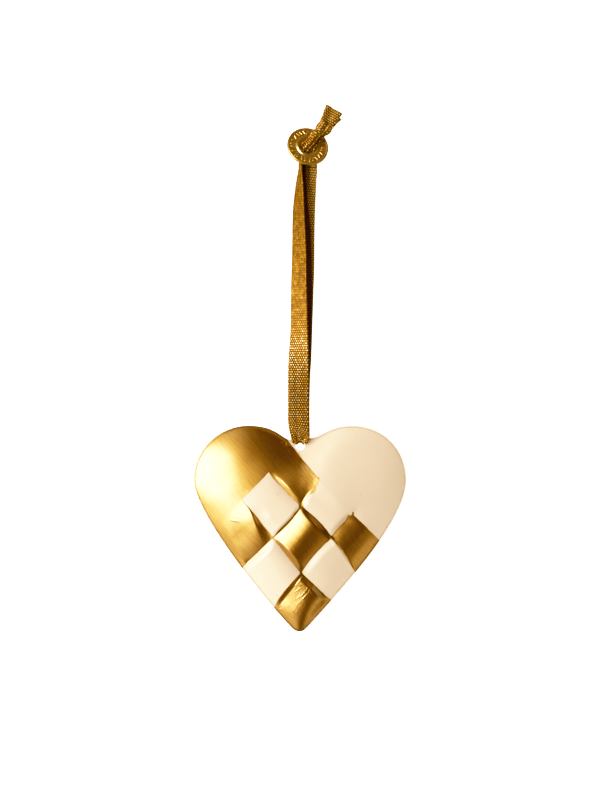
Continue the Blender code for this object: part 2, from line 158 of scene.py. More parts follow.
# ============================================================ materials
class Nodes:
    """A material's node tree, with short calls to add and join nodes."""

    def __init__(self, name):
        self.material = bpy.data.materials.new(name)
        self.material.use_nodes = True
        self.tree = self.material.node_tree
        self.shader = self.tree.nodes["Principled BSDF"]
        self.object = self.add("ShaderNodeTexCoord").outputs["Object"]

    def add(self, kind, **values):
        node = self.tree.nodes.new(kind)
        for key, value in values.items():
            if hasattr(node, key):
                setattr(node, key, value)
            else:
                node.inputs[key].default_value = value
        return node

    def join(self, out, to):
        self.tree.links.new(out, to)

    def drive(self, node, **links):
        for key, out in links.items():
            self.join(out, node.inputs[key])
        return node

    def attribute(self, name):
        return self.add("ShaderNodeAttribute", attribute_name=name).outputs["Fac"]

    def noise(self, scale, detail=2.0, rough=0.5, vector=None):
        node = self.add("ShaderNodeTexNoise", Scale=scale, Detail=detail, Roughness=rough)
        self.join(vector or self.object, node.inputs["Vector"])
        return node.outputs["Fac"]

    def remap(self, value, a, b, c, d, mode="LINEAR"):
        node = self.add("ShaderNodeMapRange", interpolation_type=mode)
        for key, number in zip(("From Min", "From Max", "To Min", "To Max"), (a, b, c, d)):
            node.inputs[key].default_value = number
        self.join(value, node.inputs["Value"])
        return node.outputs["Result"]

    def math(self, operation, a, b=None):
        node = self.add("ShaderNodeMath", operation=operation)
        for k, value in enumerate((a, b)):
            if value is None:
                continue
            if isinstance(value, (int, float)):
                node.inputs[k].default_value = value
            else:
                self.join(value, node.inputs[k])
        return node.outputs[0]

    def mix(self, factor, a, b):
        node = self.add("ShaderNodeMix", data_type="RGBA")
        self.join(factor, node.inputs[0])
        for k, value in ((6, a), (7, b)):
            if isinstance(value, tuple):
                node.inputs[k].default_value = (*value, 1.0)
            else:
                self.join(value, node.inputs[k])
        return node.outputs[2]

    def blend(self, factor, a, b):
        node = self.add("ShaderNodeMix", data_type="FLOAT")
        self.join(factor, node.inputs[0])
        for k, value in ((2, a), (3, b)):
            if isinstance(value, (int, float)):
                node.inputs[k].default_value = value
            else:
                self.join(value, node.inputs[k])
        return node.outputs[0]

    def stretch(self, scale, turn=0.0):
        """Object coordinates turned round Z and then scaled."""
        spin = self.add("ShaderNodeVectorRotate", rotation_type="Z_AXIS", Angle=turn)
        self.join(self.object, spin.inputs["Vector"])
        node = self.add("ShaderNodeVectorMath", operation="MULTIPLY")
        self.join(spin.outputs[0], node.inputs[0])
        node.inputs[1].default_value = scale
        return node.outputs[0]

    def bump(self, height, strength, distance, normal=None):
        node = self.add("ShaderNodeBump", Strength=strength, Distance=distance)
        self.join(height, node.inputs["Height"])
        if normal is not None:
            self.join(normal, node.inputs["Normal"])
        return node.outputs["Normal"]

    def set(self, name, value):
        socket = self.shader.inputs[name]
        if isinstance(value, tuple):
            socket.default_value = (*value, 1.0)
        elif isinstance(value, (int, float)):
            socket.default_value = value
        else:
            self.join(value, socket)


def heart_paint():
    """Gold metallic paint and cream enamel on one pressed shell."""
    n = Nodes("gold_and_cream_paint")
    edge = n.math("ADD", n.attribute("paint"),
                  n.remap(n.noise(2600.0, 2.0), 0.3, 0.7, -0.05, 0.05))
    gold = n.remap(edge, -0.035, 0.035, 0.0, 1.0, "SMOOTHSTEP")
    broad = n.noise(90.0, 3.0, 0.55)
    fine = n.noise(2200.0, 3.0, 0.65)
    streaks = n.noise(1.0, 3.0, 0.55, n.stretch((130.0, 2400.0, 400.0), math.radians(48.0)))

    gold_tint = n.mix(n.remap(broad, 0.35, 0.65, 0.0, 1.0), (0.82, 0.47, 0.105), (0.88, 0.53, 0.135))
    gold_tint = n.mix(n.remap(streaks, 0.42, 0.75, 0.0, 0.6), gold_tint, (0.58, 0.30, 0.05))
    gold_tint = n.mix(n.remap(n.noise(3000.0, 1.0, 0.5), 0.5, 0.78, 0.0, 0.6), gold_tint, (0.58, 0.30, 0.05))
    # painted shade: darker in the joints between strips, on the middle strip's walls and along the rim's
    # groove
    painted_shade = n.remap(n.attribute("foot"), 0.0, 1.0, 0.0, 0.85)
    gold_tint = n.mix(painted_shade, gold_tint, (0.24, 0.105, 0.012))
    cream_tint = n.mix(n.remap(broad, 0.3, 0.7, 0.0, 1.0), (0.84, 0.65, 0.465), (0.87, 0.675, 0.49))
    cream_tint = n.mix(painted_shade, cream_tint, (0.36, 0.24, 0.09))
    specks = n.remap(n.noise(700.0, 1.0, 0.4), 0.815, 0.84, 0.0, 0.7)
    cream_tint = n.mix(specks, cream_tint, (0.50, 0.33, 0.12))
    tint = n.mix(gold, cream_tint, gold_tint)
    smear = n.attribute("smear")
    tint = n.mix(smear, tint, (0.30, 0.21, 0.115))
    tint = n.mix(n.attribute("mark"), tint, (0.16, 0.07, 0.012))
    n.set("Base Color", tint)
    shine = n.math("MULTIPLY", gold, n.remap(smear, 0.0, 1.0, 1.0, 0.0))
    n.set("Metallic", shine)
    rough_gold = n.remap(fine, 0.3, 0.7, 0.33, 0.43)
    rough_cream = n.remap(fine, 0.3, 0.7, 0.30, 0.36)
    n.set("Roughness", n.blend(gold, rough_cream, rough_gold))
    n.set("IOR", 1.5)
    n.set("Specular IOR Level", 0.5)
    n.set("Coat Weight", n.remap(shine, 0.0, 1.0, 0.22, 0.9))
    n.set("Coat Roughness", 0.28)
    n.set("Coat IOR", 2.3)
    relief = n.math("ADD", n.math("MULTIPLY", streaks, 1.3), n.math("MULTIPLY", fine, 1.0))
    normal = n.bump(n.blend(gold, n.math("MULTIPLY", fine, 0.25), relief), 0.5, 0.00009)
    skin = n.remap(gold, 0.0, 1.0, 0.0, 1.0)
    n.set("Normal", n.bump(skin, 0.35, 0.00004, normal))
    return n.material


def ribbon_cloth():
    """Metallic gold yarn: each bead of the weave catches light its own way,
    with a painted glint on lucky crests and painted shade in the gaps.
    """
    n = Nodes("gold_ribbon")
    glint = n.attribute("glint")
    pit = n.attribute("pit")
    fibre = n.noise(9000.0, 2.0, 0.6)
    # shade: above 0 a painted shadow in the fold, below 0 painted light on the free edge, knot and tails
    shade = n.attribute("shade")
    # a painted glint: paler where glint is high
    tint = n.mix(n.remap(glint, 0.25, 0.9, 0.0, 1.0), (0.76, 0.40, 0.055), (1.0, 0.83, 0.54))
    # painted light where shade is below 0
    tint = n.mix(n.remap(shade, 0.0, -1.0, 0.0, 1.0), tint, (1.0, 0.60, 0.17))
    # painted shade in the gaps between beads, and all over where it is calm
    tint = n.mix(n.remap(pit, 0.15, 0.85, 0.0, 1.0, "SMOOTHSTEP"), (0.085, 0.028, 0.003), tint)
    tint = n.mix(n.remap(fibre, 0.35, 0.7, 0.0, 0.35), tint, (0.22, 0.09, 0.012))
    # painted shadow where shade is above 0
    tint = n.mix(n.remap(shade, 0.0, 1.0, 0.0, 1.0), tint, (0.110, 0.004, 0.001))
    n.set("Base Color", tint)
    n.set("Metallic", n.math("MULTIPLY", n.remap(glint, 0.0, 1.0, 0.40, 0.95),
                             n.remap(n.math("ABSOLUTE", shade), 0.0, 1.0, 1.0, 0.15)))
    n.set("Roughness", n.remap(glint, 0.2, 0.9, 0.50, 0.24))
    n.set("Normal", n.bump(fibre, 0.5, 0.00005))
    return n.material


def tag_brass():
    """Old yellow brass, darker in the hollows; paler on the raised strokes,
    partly rubbed bright and partly a painted highlight, with a painted
    highlight on one side of the dish's lip.
    """
    n = Nodes("brass")
    hollow = n.attribute("hollow")
    broad = n.noise(500.0, 3.0, 0.6)
    fine = n.noise(4000.0, 3.0, 0.6)
    tint = n.mix(n.remap(broad, 0.35, 0.65, 0.0, 1.0), (0.86, 0.56, 0.18), (0.94, 0.66, 0.26))
    # paler where hollow is below 0: rubbed strokes and painted highlights
    tint = n.mix(n.remap(hollow, 0.0, -1.0, 0.0, 1.0), tint, (1.0, 0.86, 0.58))
    tint = n.mix(n.remap(hollow, 0.0, 1.0, 0.0, 1.0), tint, (0.36, 0.155, 0.014))
    n.set("Base Color", tint)
    n.set("Metallic", n.remap(hollow, 0.0, 1.0, 0.86, 0.50))
    n.set("Roughness", n.remap(n.math("ADD", fine, hollow), 0.3, 1.4, 0.26, 0.48))
    n.set("Normal", n.bump(fine, 0.25, 0.00005))
    return n.material


# =============================================================== ribbon
# x, y, z of the ribbon's middle, from the knot down the upper strand,
# through the hole in the notch, and back up the lower strand.
ROUTE = [
    (5.70, 120.70, 4.10), (3.30, 118.60, 4.45), (1.60, 116.50, 3.85),
    (1.05, 115.00, 3.25), (0.65, 113.40, 3.05), (0.30, 111.80, 3.15),
    (0.10, 109.90, 3.35), (-0.20, 104.80, 3.60), (-0.41, 95.60, 3.25),
    (-0.30, 82.00, 3.05), (-0.37, 71.50, 2.95), (-0.26, 60.50, 3.05),
    (-0.50, 48.00, 4.00), (-0.50, 40.00, 5.25), (-0.50, 34.00, 6.25),
    (-0.45, 30.60, 6.75), (-0.10, 28.30, 6.60), (0.15, 26.90, 6.20),
    (0.08, 26.05, 5.85), (0.03, 25.68, 5.00), (0.08, 26.05, 4.15),
    (0.10, 26.90, 3.80), (0.00, 28.40, 3.40), (-0.25, 30.80, 2.65),
    (-0.30, 35.00, 1.50), (-0.25, 40.00, 0.85), (-0.10, 46.00, 0.55),
    (0.30, 53.00, 0.50), (0.60, 62.00, 0.50), (0.90, 71.00, 0.50),
    (1.20, 80.00, 0.50), (1.30, 90.00, 0.55), (1.55, 98.60, 0.95),
    (2.10, 104.80, 1.85), (2.75, 109.90, 2.30), (2.95, 111.90, 2.25),
    (3.05, 113.70, 2.30), (3.15, 115.20, 2.85), (3.40, 116.60, 3.75),
    (4.85, 118.05, 4.35), (6.85, 119.65, 4.10),
]
HOLE = np.array([0.03, 25.3])
HOLE_RADIUS = 1.5
SEAM_HEIGHT = 5.0
RIBBON_WIDE = 6.4
RIBBON_HALF = 0.20         # half its thickness, without the beads
BEAD = 0.73                # from one row of the weave to the next
BEAD_HIGH = 0.13
ACROSS = 9                 # beads across the width
STEP = BEAD / 4
KNOT_RUN = (0.69, 0.73)

# The strands from the heart to the knot: x, y, z, roll (right edge up),
# pleat, fold.  Pleat is how hard the width is gathered into waves, fold
# how far the left part is turned under, all in degrees.
UPPER = [
    (-0.50, 33.00, 6.50, 0, 4, 0),
    (-0.50, 36.00, 5.95, 0, 3, 0),
    (-0.50, 40.00, 5.25, 0, 3, 0),
    (-0.50, 48.00, 4.00, 6, 3, 0),
    (-0.26, 60.50, 3.05, 33, 3, 0),
    (-0.37, 71.50, 2.95, 40, 3, 0),
    (-0.30, 82.00, 3.05, 46, 3, 0),
    (-0.41, 95.60, 3.25, 56, 4, 0),
    (-0.20, 104.80, 3.60, 70, 6, 0),
    (0.10, 109.90, 3.35, 82, 24, 0),
    (0.30, 111.80, 3.15, 84, 58, 0),
    (0.65, 113.40, 3.05, 80, 84, 30),
    (1.05, 115.00, 3.25, 34, 62, 70),
    (1.72, 116.55, 4.05, 14, 70, 120),
    (3.42, 118.28, 4.70, 10, 84, 150),
    (4.95, 120.42, 4.55, 6, 84, 160),
    (6.90, 121.90, 3.70, 4, 80, 165),
]
LOWER = [
    (-0.28, 33.00, 2.00, 0, 4, 0),
    (-0.30, 36.00, 1.40, 0, 3, 0),
    (-0.25, 40.00, 0.90, 0, 3, 0),
    (-0.10, 46.00, 0.58, 0, 3, 0),
    (0.30, 53.00, 0.50, 0, 3, 0),
    (0.60, 62.00, 0.50, 0, 3, 0),
    (0.90, 71.00, 0.50, 0, 3, 0),
    (1.20, 80.00, 0.50, 0, 3, 0),
    (1.30, 90.00, 0.62, 3, 3, 0),
    (1.55, 98.60, 1.05, 10, 4, 0),
    (2.10, 104.80, 1.75, 24, 12, 0),
    (2.65, 109.90, 2.15, 30, 26, 0),
    (2.62, 111.90, 2.15, 32, 44, 0),
    (2.85, 113.70, 2.30, 26, 52, 20),
    (3.15, 115.20, 2.80, 16, 56, 60),
    (3.40, 116.60, 3.60, 12, 74, 110),
    (4.42, 118.12, 3.95, 8, 86, 150),
    (5.72, 119.95, 3.75, 6, 84, 160),
    (7.40, 121.30, 3.00, 4, 80, 165),
]


def section(pleat, fold, v):
    """Cross-section of a gathered ribbon that keeps its woven width: rows
    of (across, up) for every station, centred on its box."""
    pleat = np.radians(pleat)[:, None]
    fold = np.radians(fold)[:, None]
    angle = pleat * np.sin(2.6 * math.pi * v[None] + 0.6)
    angle = angle + fold * (1.0 - smooth((v[None] + 0.28) / 0.34 + 0.5))
    ds = (v[1] - v[0]) * RIBBON_WIDE / 2
    mid = 0.5 * (angle[:, 1:] + angle[:, :-1])
    zero = np.zeros((len(pleat), 1))
    across = np.hstack([zero, np.cumsum(np.cos(mid) * ds, axis=1)])
    up = np.hstack([zero, np.cumsum(np.sin(mid) * ds, axis=1)])
    across -= 0.5 * (across.min(1) + across.max(1))[:, None]
    up -= 0.5 * (up.min(1) + up.max(1))[:, None]
    return across, up


def strand(table, v):
    """Grid of middle-surface points from the heart to the knot."""
    rows = spline(table, step=STEP)
    centre = rows[:, :3]
    way = unit(np.gradient(centre, axis=0))
    late = smooth((rows[:, 1] - 114.0) / 4.0)[:, None]
    base = (1 - late) * np.array([1.0, 0, 0]) + late * np.array([KNOT_RUN[1], -KNOT_RUN[0], 0.0])
    side = unit(base - (base * way).sum(1)[:, None] * way)
    up = np.cross(side, way)
    roll = np.radians(rows[:, 3])[:, None]
    wide = side * np.cos(roll) + up * np.sin(roll)
    tall = up * np.cos(roll) - side * np.sin(roll)
    across, lift = section(rows[:, 4], rows[:, 5], v)
    wave = 0.05 * ripple(rows[:, 1], rows[:, 1] * 0.0, 3.0, 17.0)
    grid = (centre[:, None] + wide[:, None] * across[..., None]
            + tall[:, None] * (lift + wave[:, None])[..., None])
    return grid


def bezier(p0, p1, p2, p3, t):
    t = t[:, None, None]
    return ((1 - t) ** 3 * p0[None] + 3 * (1 - t) ** 2 * t * p1[None]
            + 3 * (1 - t) * t * t * p2[None] + t ** 3 * p3[None])


def into_hole(start, heading, v, front):
    """From a flat strand to the rim of the hole, where the ribbon fans
    round the upper half of the hole's edge."""
    sign = 1.0 if front else -1.0
    turn = np.radians(91.0 - 77.0 * v)
    out = np.column_stack([np.cos(turn), np.sin(turn), np.zeros(len(v))])
    clear = RIBBON_HALF + BEAD_HIGH + 0.08
    level = SEAM_HEIGHT + sign * (0.45 + clear)
    centre = np.array([HOLE[0], HOLE[1], level])
    end = centre + out * (HOLE_RADIUS + 0.45)
    right = smooth((v + 1) / 2)[:, None]
    reach_in = 2.6 + 2.6 * right
    reach_out = 0.5 + 0.9 * right
    step_down = np.array([0.0, 0.0, 0.35 * sign])
    one = start + heading * reach_in + step_down
    two = end + out * reach_out + np.array([0.0, 0.0, 0.45 * sign])
    pts = bezier(start, one, two, end, np.linspace(0, 1, 37))
    # crumpled where the wide ribbon is forced into the small hole
    t = np.linspace(0, 1, 37)[:, None]
    crumple = 0.16 * smooth((t - 0.45) / 0.4) * np.sin(3.3 * math.pi * v[None] + 0.5)
    pts[..., 2] += sign * crumple
    return pts, out, clear, centre


def round_rim(out, clear):
    """The turn round the sheet's edge, from the front to the back."""
    rows = []
    for k in np.linspace(0, 1, 6)[1:]:
        rows.append((HOLE_RADIUS + 0.45 * (1 - k), 0.45 + clear))
    for turn in np.linspace(0, math.pi / 2, 6)[1:]:
        rows.append((HOLE_RADIUS - clear * math.sin(turn), 0.45 + clear * math.cos(turn)))
    rows.append((HOLE_RADIUS - clear, 0.15))
    back = [(r, -z) for r, z in rows[::-1]]
    rows = rows + back
    return np.array([np.column_stack([HOLE[0] + out[:, 0] * r, HOLE[1] + out[:, 1] * r,
                                      np.full(len(out), SEAM_HEIGHT + z)]) for r, z in rows])


def even_rows(grid, step):
    """The same sheet with its rows evenly spaced along its middle."""
    mid = grid[:, grid.shape[1] // 2]
    side = 0.5 * (grid[:, 2] + grid[:, -3])
    gap = np.maximum(np.linalg.norm(np.diff(mid, axis=0), axis=1),
                     np.linalg.norm(np.diff(side, axis=0), axis=1))
    run = np.r_[0, np.cumsum(gap)]
    count = int(round(run[-1] / step)) + 1
    at = np.linspace(0, run[-1], count)
    flat = grid.reshape(len(grid), -1)
    out = np.column_stack([np.interp(at, run, flat[:, k]) for k in range(flat.shape[1])])
    return out.reshape(count, grid.shape[1], 3)


def relax(grid, rounds):
    """Evens out small kinks along the ribbon's length."""
    for _ in range(rounds):
        grid[1:-1] = 0.25 * grid[:-2] + 0.5 * grid[1:-1] + 0.25 * grid[2:]
    return grid


def woven(grid, across, seed, calm=0.0, ragged=0.0):
    """Closed cloth round a middle surface: points, quads, glint, pit, facing.
    The weave's beads lie on both faces in rows that step by half a bead;
    where it is calm they are flatter and more alike. Glint sets a painted
    glint on each bead's crest and pit a painted shade in the gaps between
    beads; where it is calm the pit's painted shade darkens the whole cloth."""
    nu, nv = grid.shape[:2]
    along = unit(np.gradient(grid, axis=0))
    over = unit(np.gradient(grid, axis=1))
    normal = unit(np.cross(over, along))
    v = np.linspace(-1, 1, nv)
    u = np.arange(nu) * STEP
    calm = np.broadcast_to(np.asarray(calm, float), (nu,))[:, None]
    row = np.floor(u / BEAD + 1e-6)
    fu = u / BEAD - row
    thick = RIBBON_HALF * np.sqrt(np.clip(1 - np.clip((np.abs(v) - 0.93) / 0.07, 0, 1) ** 2, 0, 1))
    made, glints, pits, faces_up = [], [], [], []
    for face in (0, 1):
        shift = 0.5 * np.mod(row + face, 2)[:, None]
        place = (v[None] + 1) / 2 * across + shift
        col = np.floor(place + 1e-6)
        fv = place - col
        bead = np.clip(np.sin(math.pi * fu)[:, None], 0, 1) ** 0.8 * np.clip(np.sin(math.pi * fv), 0, 1) ** 0.5
        luck = scramble(row[:, None] + 0 * col, col, np.full_like(col, seed + face))
        edge = np.clip((1 - np.abs(v)) / 0.05, 0, 1)[None]
        high = BEAD_HIGH * bead * (0.75 + 0.5 * luck) * edge * (1 - 0.55 * calm)
        sign = 1.0 if face == 0 else -1.0
        made.append(grid + sign * normal * (thick[None] + high)[..., None])
        # glint and pit set the painted glint and the painted shade of the gaps
        glints.append(np.clip(luck, 0, 1) * bead ** 0.5 * (1 - calm) + calm * (0.08 + 0.18 * luck ** 2 + 0.22 * (luck > 0.95)))
        pits.append(bead * (1 - calm) + calm * (0.27 + 0.18 * bead + 0.20 * luck))
        faces_up.append(sign * normal[..., 2])
    top, under = made
    if ragged:
        fray = ragged * (scramble(np.arange(nv), np.full(nv, seed)) - 0.5)
        top[-1] += along[-1] * fray[:, None]
        under[-1] += along[-1] * fray[:, None]
    points = np.vstack([top.reshape(-1, 3), under[:, 1:-1].reshape(-1, 3)])
    glint = np.r_[glints[0].ravel(), glints[1][:, 1:-1].ravel()]
    pit = np.r_[pits[0].ravel(), pits[1][:, 1:-1].ravel()]
    facing = np.r_[faces_up[0].ravel(), faces_up[1][:, 1:-1].ravel()]
    a = np.arange(nu * nv).reshape(nu, nv)
    b = np.empty((nu, nv), int)
    b[:, 0], b[:, -1] = a[:, 0], a[:, -1]
    b[:, 1:-1] = nu * nv + np.arange(nu * (nv - 2)).reshape(nu, nv - 2)
    quads = [np.stack([a[:-1, :-1], a[:-1, 1:], a[1:, 1:], a[1:, :-1]], -1).reshape(-1, 4),
             np.stack([b[:-1, :-1], b[1:, :-1], b[1:, 1:], b[:-1, 1:]], -1).reshape(-1, 4)]
    for k, flip in ((0, False), (nu - 1, True)):
        cap = np.stack([a[k, 1:-2], b[k, 1:-2], b[k, 2:-1], a[k, 2:-1]], -1)
        quads.append(cap[:, ::-1] if flip else cap)
    ends = []
    for k, flip in ((0, False), (nu - 1, True)):
        for tri in ((a[k, 0], b[k, 1], a[k, 1]), (a[k, -1], a[k, -2], b[k, -2])):
            ends.append(tri[::-1] if flip else tri)
    return points, quads, np.array(ends), glint, pit, facing


# The painted shadow that the upper strand casts on the under one in the
# deep fold between them: y, and where its dark part begins and ends in x.
FOLD_SHADOW = np.array([(40.0, 3.0, 3.1), (54.0, 2.9, 3.2), (64.0, 2.5, 3.5), (73.4, 2.2, 3.7), (82.6, 1.9, 3.5),
                 (92.0, 1.6, 3.2), (101.4, 0.95, 2.1), (107.0, 0.80, 1.75), (111.0, 0.75, 1.8)])


def painted_fold_shadow_and_light(points, facing):
    """Painted shadow on the under strand beside the upper one, and, below 0,
    painted light on its free edge, both on its upper face alone, and painted
    light on the knot and tails all over."""
    x, y = points[:, 0], points[:, 1]
    first, last = (np.interp(y, FOLD_SHADOW[:, 0], FOLD_SHADOW[:, k]) for k in (1, 2))
    dark = smooth((x - first + 0.25) / 0.3) * smooth((last + 0.35 - x) / 0.6)
    free = smooth((x - last + 0.1) / 0.45) * smooth((y - 60.0) / 20.0)
    along = smooth((y - 42.0) / 16.0) * smooth((112.5 - y) / 1.0) * smooth((facing + 0.15) / 0.3)
    # the knot and tails painted lighter all over
    ends = smooth((y - 118.5) / 2.0)
    return along * (0.92 * dark - free) - 0.6 * ends


def woven_piece(name, grids, material):
    """One piece from several strips: (grid, beads across, seed, calm, ragged)."""
    points, quads, tris, glints, pits, facings = [], [], [], [], [], []
    base = 0
    for grid, across, seed, calm, ragged in grids:
        p, q, e, g, d, f = woven(grid, across, seed, calm, ragged)
        points.append(p)
        quads += [rows + base for rows in q]
        tris.append(e + base)
        glints.append(g)
        pits.append(d)
        facings.append(f)
        base += len(p)
    piece = mesh_object(name, np.vstack(points), [np.vstack(quads), np.vstack(tris)], material)
    attribute(piece, "glint", np.concatenate(glints))
    attribute(piece, "pit", np.concatenate(pits))
    # painted shadow in the fold and painted light on the free edge, knot and tails
    attribute(piece, "shade", painted_fold_shadow_and_light(np.vstack(points), np.concatenate(facings)))
    return piece


def make_ribbon(material):
    v = np.linspace(-1, 1, ACROSS * 4 + 1)
    upper, lower = strand(UPPER, v), strand(LOWER, v)
    parts = []
    turned = None
    for grid, front in ((upper, True), (lower, False)):
        heading = unit(grid[0] - grid[3])
        pts, out, clear, _ = into_hole(grid[0], heading, v, front)
        turned = (out, clear)
        parts.append(np.vstack([grid[::-1], pts[1:]]))
    rim = round_rim(*turned)
    whole = np.vstack([parts[0], rim[:-1], parts[1][::-1]])
    whole = even_rows(whole, STEP)
    whole = relax(whole, 3)
    # drawn smooth, and darker by the pit's painted shade, where the upper
    # strand turns its flat side to the light
    middle = whole[:, whole.shape[1] // 2]
    above = np.arange(len(whole)) < np.argmin(middle[:, 1])
    calm = smooth((middle[:, 1] - 50.0) / 20.0) * smooth((114.0 - middle[:, 1]) / 4.0)
    calm = np.where(above, calm, 0.35 * calm)
    calm = np.maximum(calm, 0.5 * smooth((middle[:, 1] - 111.0) / 4.0))
    return woven_piece("woven_ribbon", [(whole, ACROSS, 1, calm, 0.0)], material)


# ================================================================ knot
KNOT_AT = np.array([7.45, 122.5, 0.0])
KNOT_AXIS = unit(np.array([0.55, 0.83, 0.0]))
KNOT_SIDE = unit(np.array([0.83, -0.55, 0.0]))
# Each turn of the knot: (side, height) of its path across the bundle,
# with its middle and half length along the bundle there.
LEFT_TURN = [(-0.30, 0.95, -0.5, 1.5), (-1.70, 1.15, -0.5, 1.8), (-2.12, 2.40, -0.45, 2.0),
             (-1.95, 3.70, -0.35, 2.05), (-1.20, 4.40, -0.25, 2.0), (-0.35, 4.20, -0.15, 1.75),
             (0.05, 3.30, -0.1, 1.4)]
RIGHT_TURN = [(0.10, 0.85, -0.1, 1.1), (1.60, 0.95, -0.1, 1.4), (2.15, 2.10, 0.0, 1.55),
              (1.95, 3.35, 0.0, 1.55), (1.25, 4.00, 0.0, 1.45), (0.45, 3.80, -0.05, 1.3),
              (0.05, 2.90, -0.1, 1.1)]
# Tails, from inside the knot to the cut end: x, y, z, roll, how wavy the
# width is in degrees, and how much of each edge is turned under.
TAIL_TOP = [(7.20, 122.20, 2.70, -4, 46, 1.15), (8.00, 123.70, 3.05, -4, 40, 0.90),
            (8.85, 125.10, 2.85, -4, 28, 0.75), (9.60, 126.50, 2.45, -3, 20, 0.55),
            (10.50, 128.10, 2.05, -2, 16, 0.30)]
TAIL_UNDER = [(7.60, 122.00, 2.00, 4, 46, 1.15), (8.20, 123.30, 1.95, 4, 40, 0.90),
              (8.95, 124.60, 1.60, 4, 30, 0.70), (9.65, 125.70, 1.30, 4, 22, 0.50),
              (10.42, 126.75, 1.10, 4, 18, 0.25)]


def turn_grid(rows, count_v):
    rows = np.array(rows, float)
    path = np.column_stack([rows[:, 0], rows[:, 1], np.zeros(len(rows)), rows[:, 2], rows[:, 3]])
    fine = spline(path, step=STEP)
    v = np.linspace(-1, 1, count_v)
    away = np.gradient(fine[:, :2], axis=0)
    out = unit(np.column_stack([away[:, 1], -away[:, 0]]))
    # make the outward direction point away from the bundle's middle
    flip = np.sign((out * (fine[:, :2] - np.array([0.0, 2.6]))).sum(1))
    out *= np.where(flip == 0, 1, flip)[:, None]
    # the band's edges roll in towards the bundle
    tuck = -0.75 * np.abs(v) ** 3.2
    length = fine[:, 3][:, None] + fine[:, 4][:, None] * np.sin(v * 1.25)[None] / math.sin(1.25)
    side = fine[:, 0][:, None] + out[:, 0][:, None] * tuck[None]
    high = fine[:, 1][:, None] + out[:, 1][:, None] * tuck[None]
    crease = 0.09 * np.sin(2.2 * math.pi * v[None] + 0.12 * np.arange(len(fine))[:, None])
    side, high = side + out[:, 0][:, None] * crease, high + out[:, 1][:, None] * crease
    return (KNOT_AT + KNOT_SIDE * side[..., None] + KNOT_AXIS * length[..., None]
            + np.array([0, 0, 1.0]) * high[..., None])


def tail_grid(table, v, wave):
    rows = spline(table, step=STEP)
    centre = rows[:, :3]
    way = unit(np.gradient(centre, axis=0))
    side = unit(KNOT_SIDE - (way @ KNOT_SIDE)[:, None] * way)
    up = np.cross(side, way)
    roll = np.radians(rows[:, 3])[:, None]
    wide = side * np.cos(roll) + up * np.sin(roll)
    tall = up * np.cos(roll) - side * np.sin(roll)
    place = v[None] * RIBBON_WIDE / 2
    edge = RIBBON_WIDE / 2 - rows[:, 5][:, None]
    turned = smooth(place - edge + 0.5) - smooth(-place - edge + 0.5)
    angle = (np.radians(rows[:, 4])[:, None] * np.sin(wave * math.pi * v[None] + 0.4)
             - math.radians(165.0) * turned)
    ds = (v[1] - v[0]) * RIBBON_WIDE / 2
    mid = 0.5 * (angle[:, 1:] + angle[:, :-1])
    zero = np.zeros((len(rows), 1))
    across = np.hstack([zero, np.cumsum(np.cos(mid) * ds, axis=1)])
    lift = np.hstack([zero, np.cumsum(np.sin(mid) * ds, axis=1)])
    across -= 0.5 * (across.min(1) + across.max(1))[:, None]
    lift -= 0.5 * (lift.min(1) + lift.max(1))[:, None]
    return centre[:, None] + wide[:, None] * across[..., None] + tall[:, None] * lift[..., None]


def make_knot(material):
    v = np.linspace(-1, 1, ACROSS * 4 + 1)
    grids = [
        (turn_grid(LEFT_TURN, 25), 6, 11, 0.45, 0.0),
        (turn_grid(RIGHT_TURN, 21), 5, 23, 0.45, 0.0),
        (tail_grid(TAIL_TOP, v, 1.6), ACROSS, 37, 0.45, 0.22),
        (tail_grid(TAIL_UNDER, v, 1.4), ACROSS, 53, 0.45, 0.22),
    ]
    return woven_piece("ribbon_knot_and_tails", grids, material)


# ================================================================= tag
TAG_RADIUS = 6.4
TAG_HOLE = 2.25
TAG_CENTRE = (2.35, 116.6, 3.95)
TAG_TILT = 30.0
TAG_LIFT_HEADING = -115.0
# radius and height of the turned profile, down the outer side, across the
# underside, up through the hole and out over the dished face
TAG_PROFILE = [
    (5.72, 0.26), (5.78, 0.38), (5.90, 0.46), (6.05, 0.49), (6.20, 0.47), (6.33, 0.38),
    (6.40, 0.24), (6.40, 0.00), (6.40, -0.24), (6.34, -0.37), (6.20, -0.45), (5.90, -0.45),
    (5.00, -0.45), (4.00, -0.45), (3.00, -0.45), (2.45, -0.45), (2.30, -0.42), (2.25, -0.34),
    (2.25, -0.20), (2.28, -0.12), (2.37, -0.06), (2.50, -0.02), (2.64, 0.05), (2.78, 0.14),
    (2.90, 0.23), (3.00, 0.31), (3.10, 0.37), (3.21, 0.41), (3.32, 0.40), (3.43, 0.365),
    (3.54, 0.325), (3.66, 0.285), (3.80, 0.25),
]


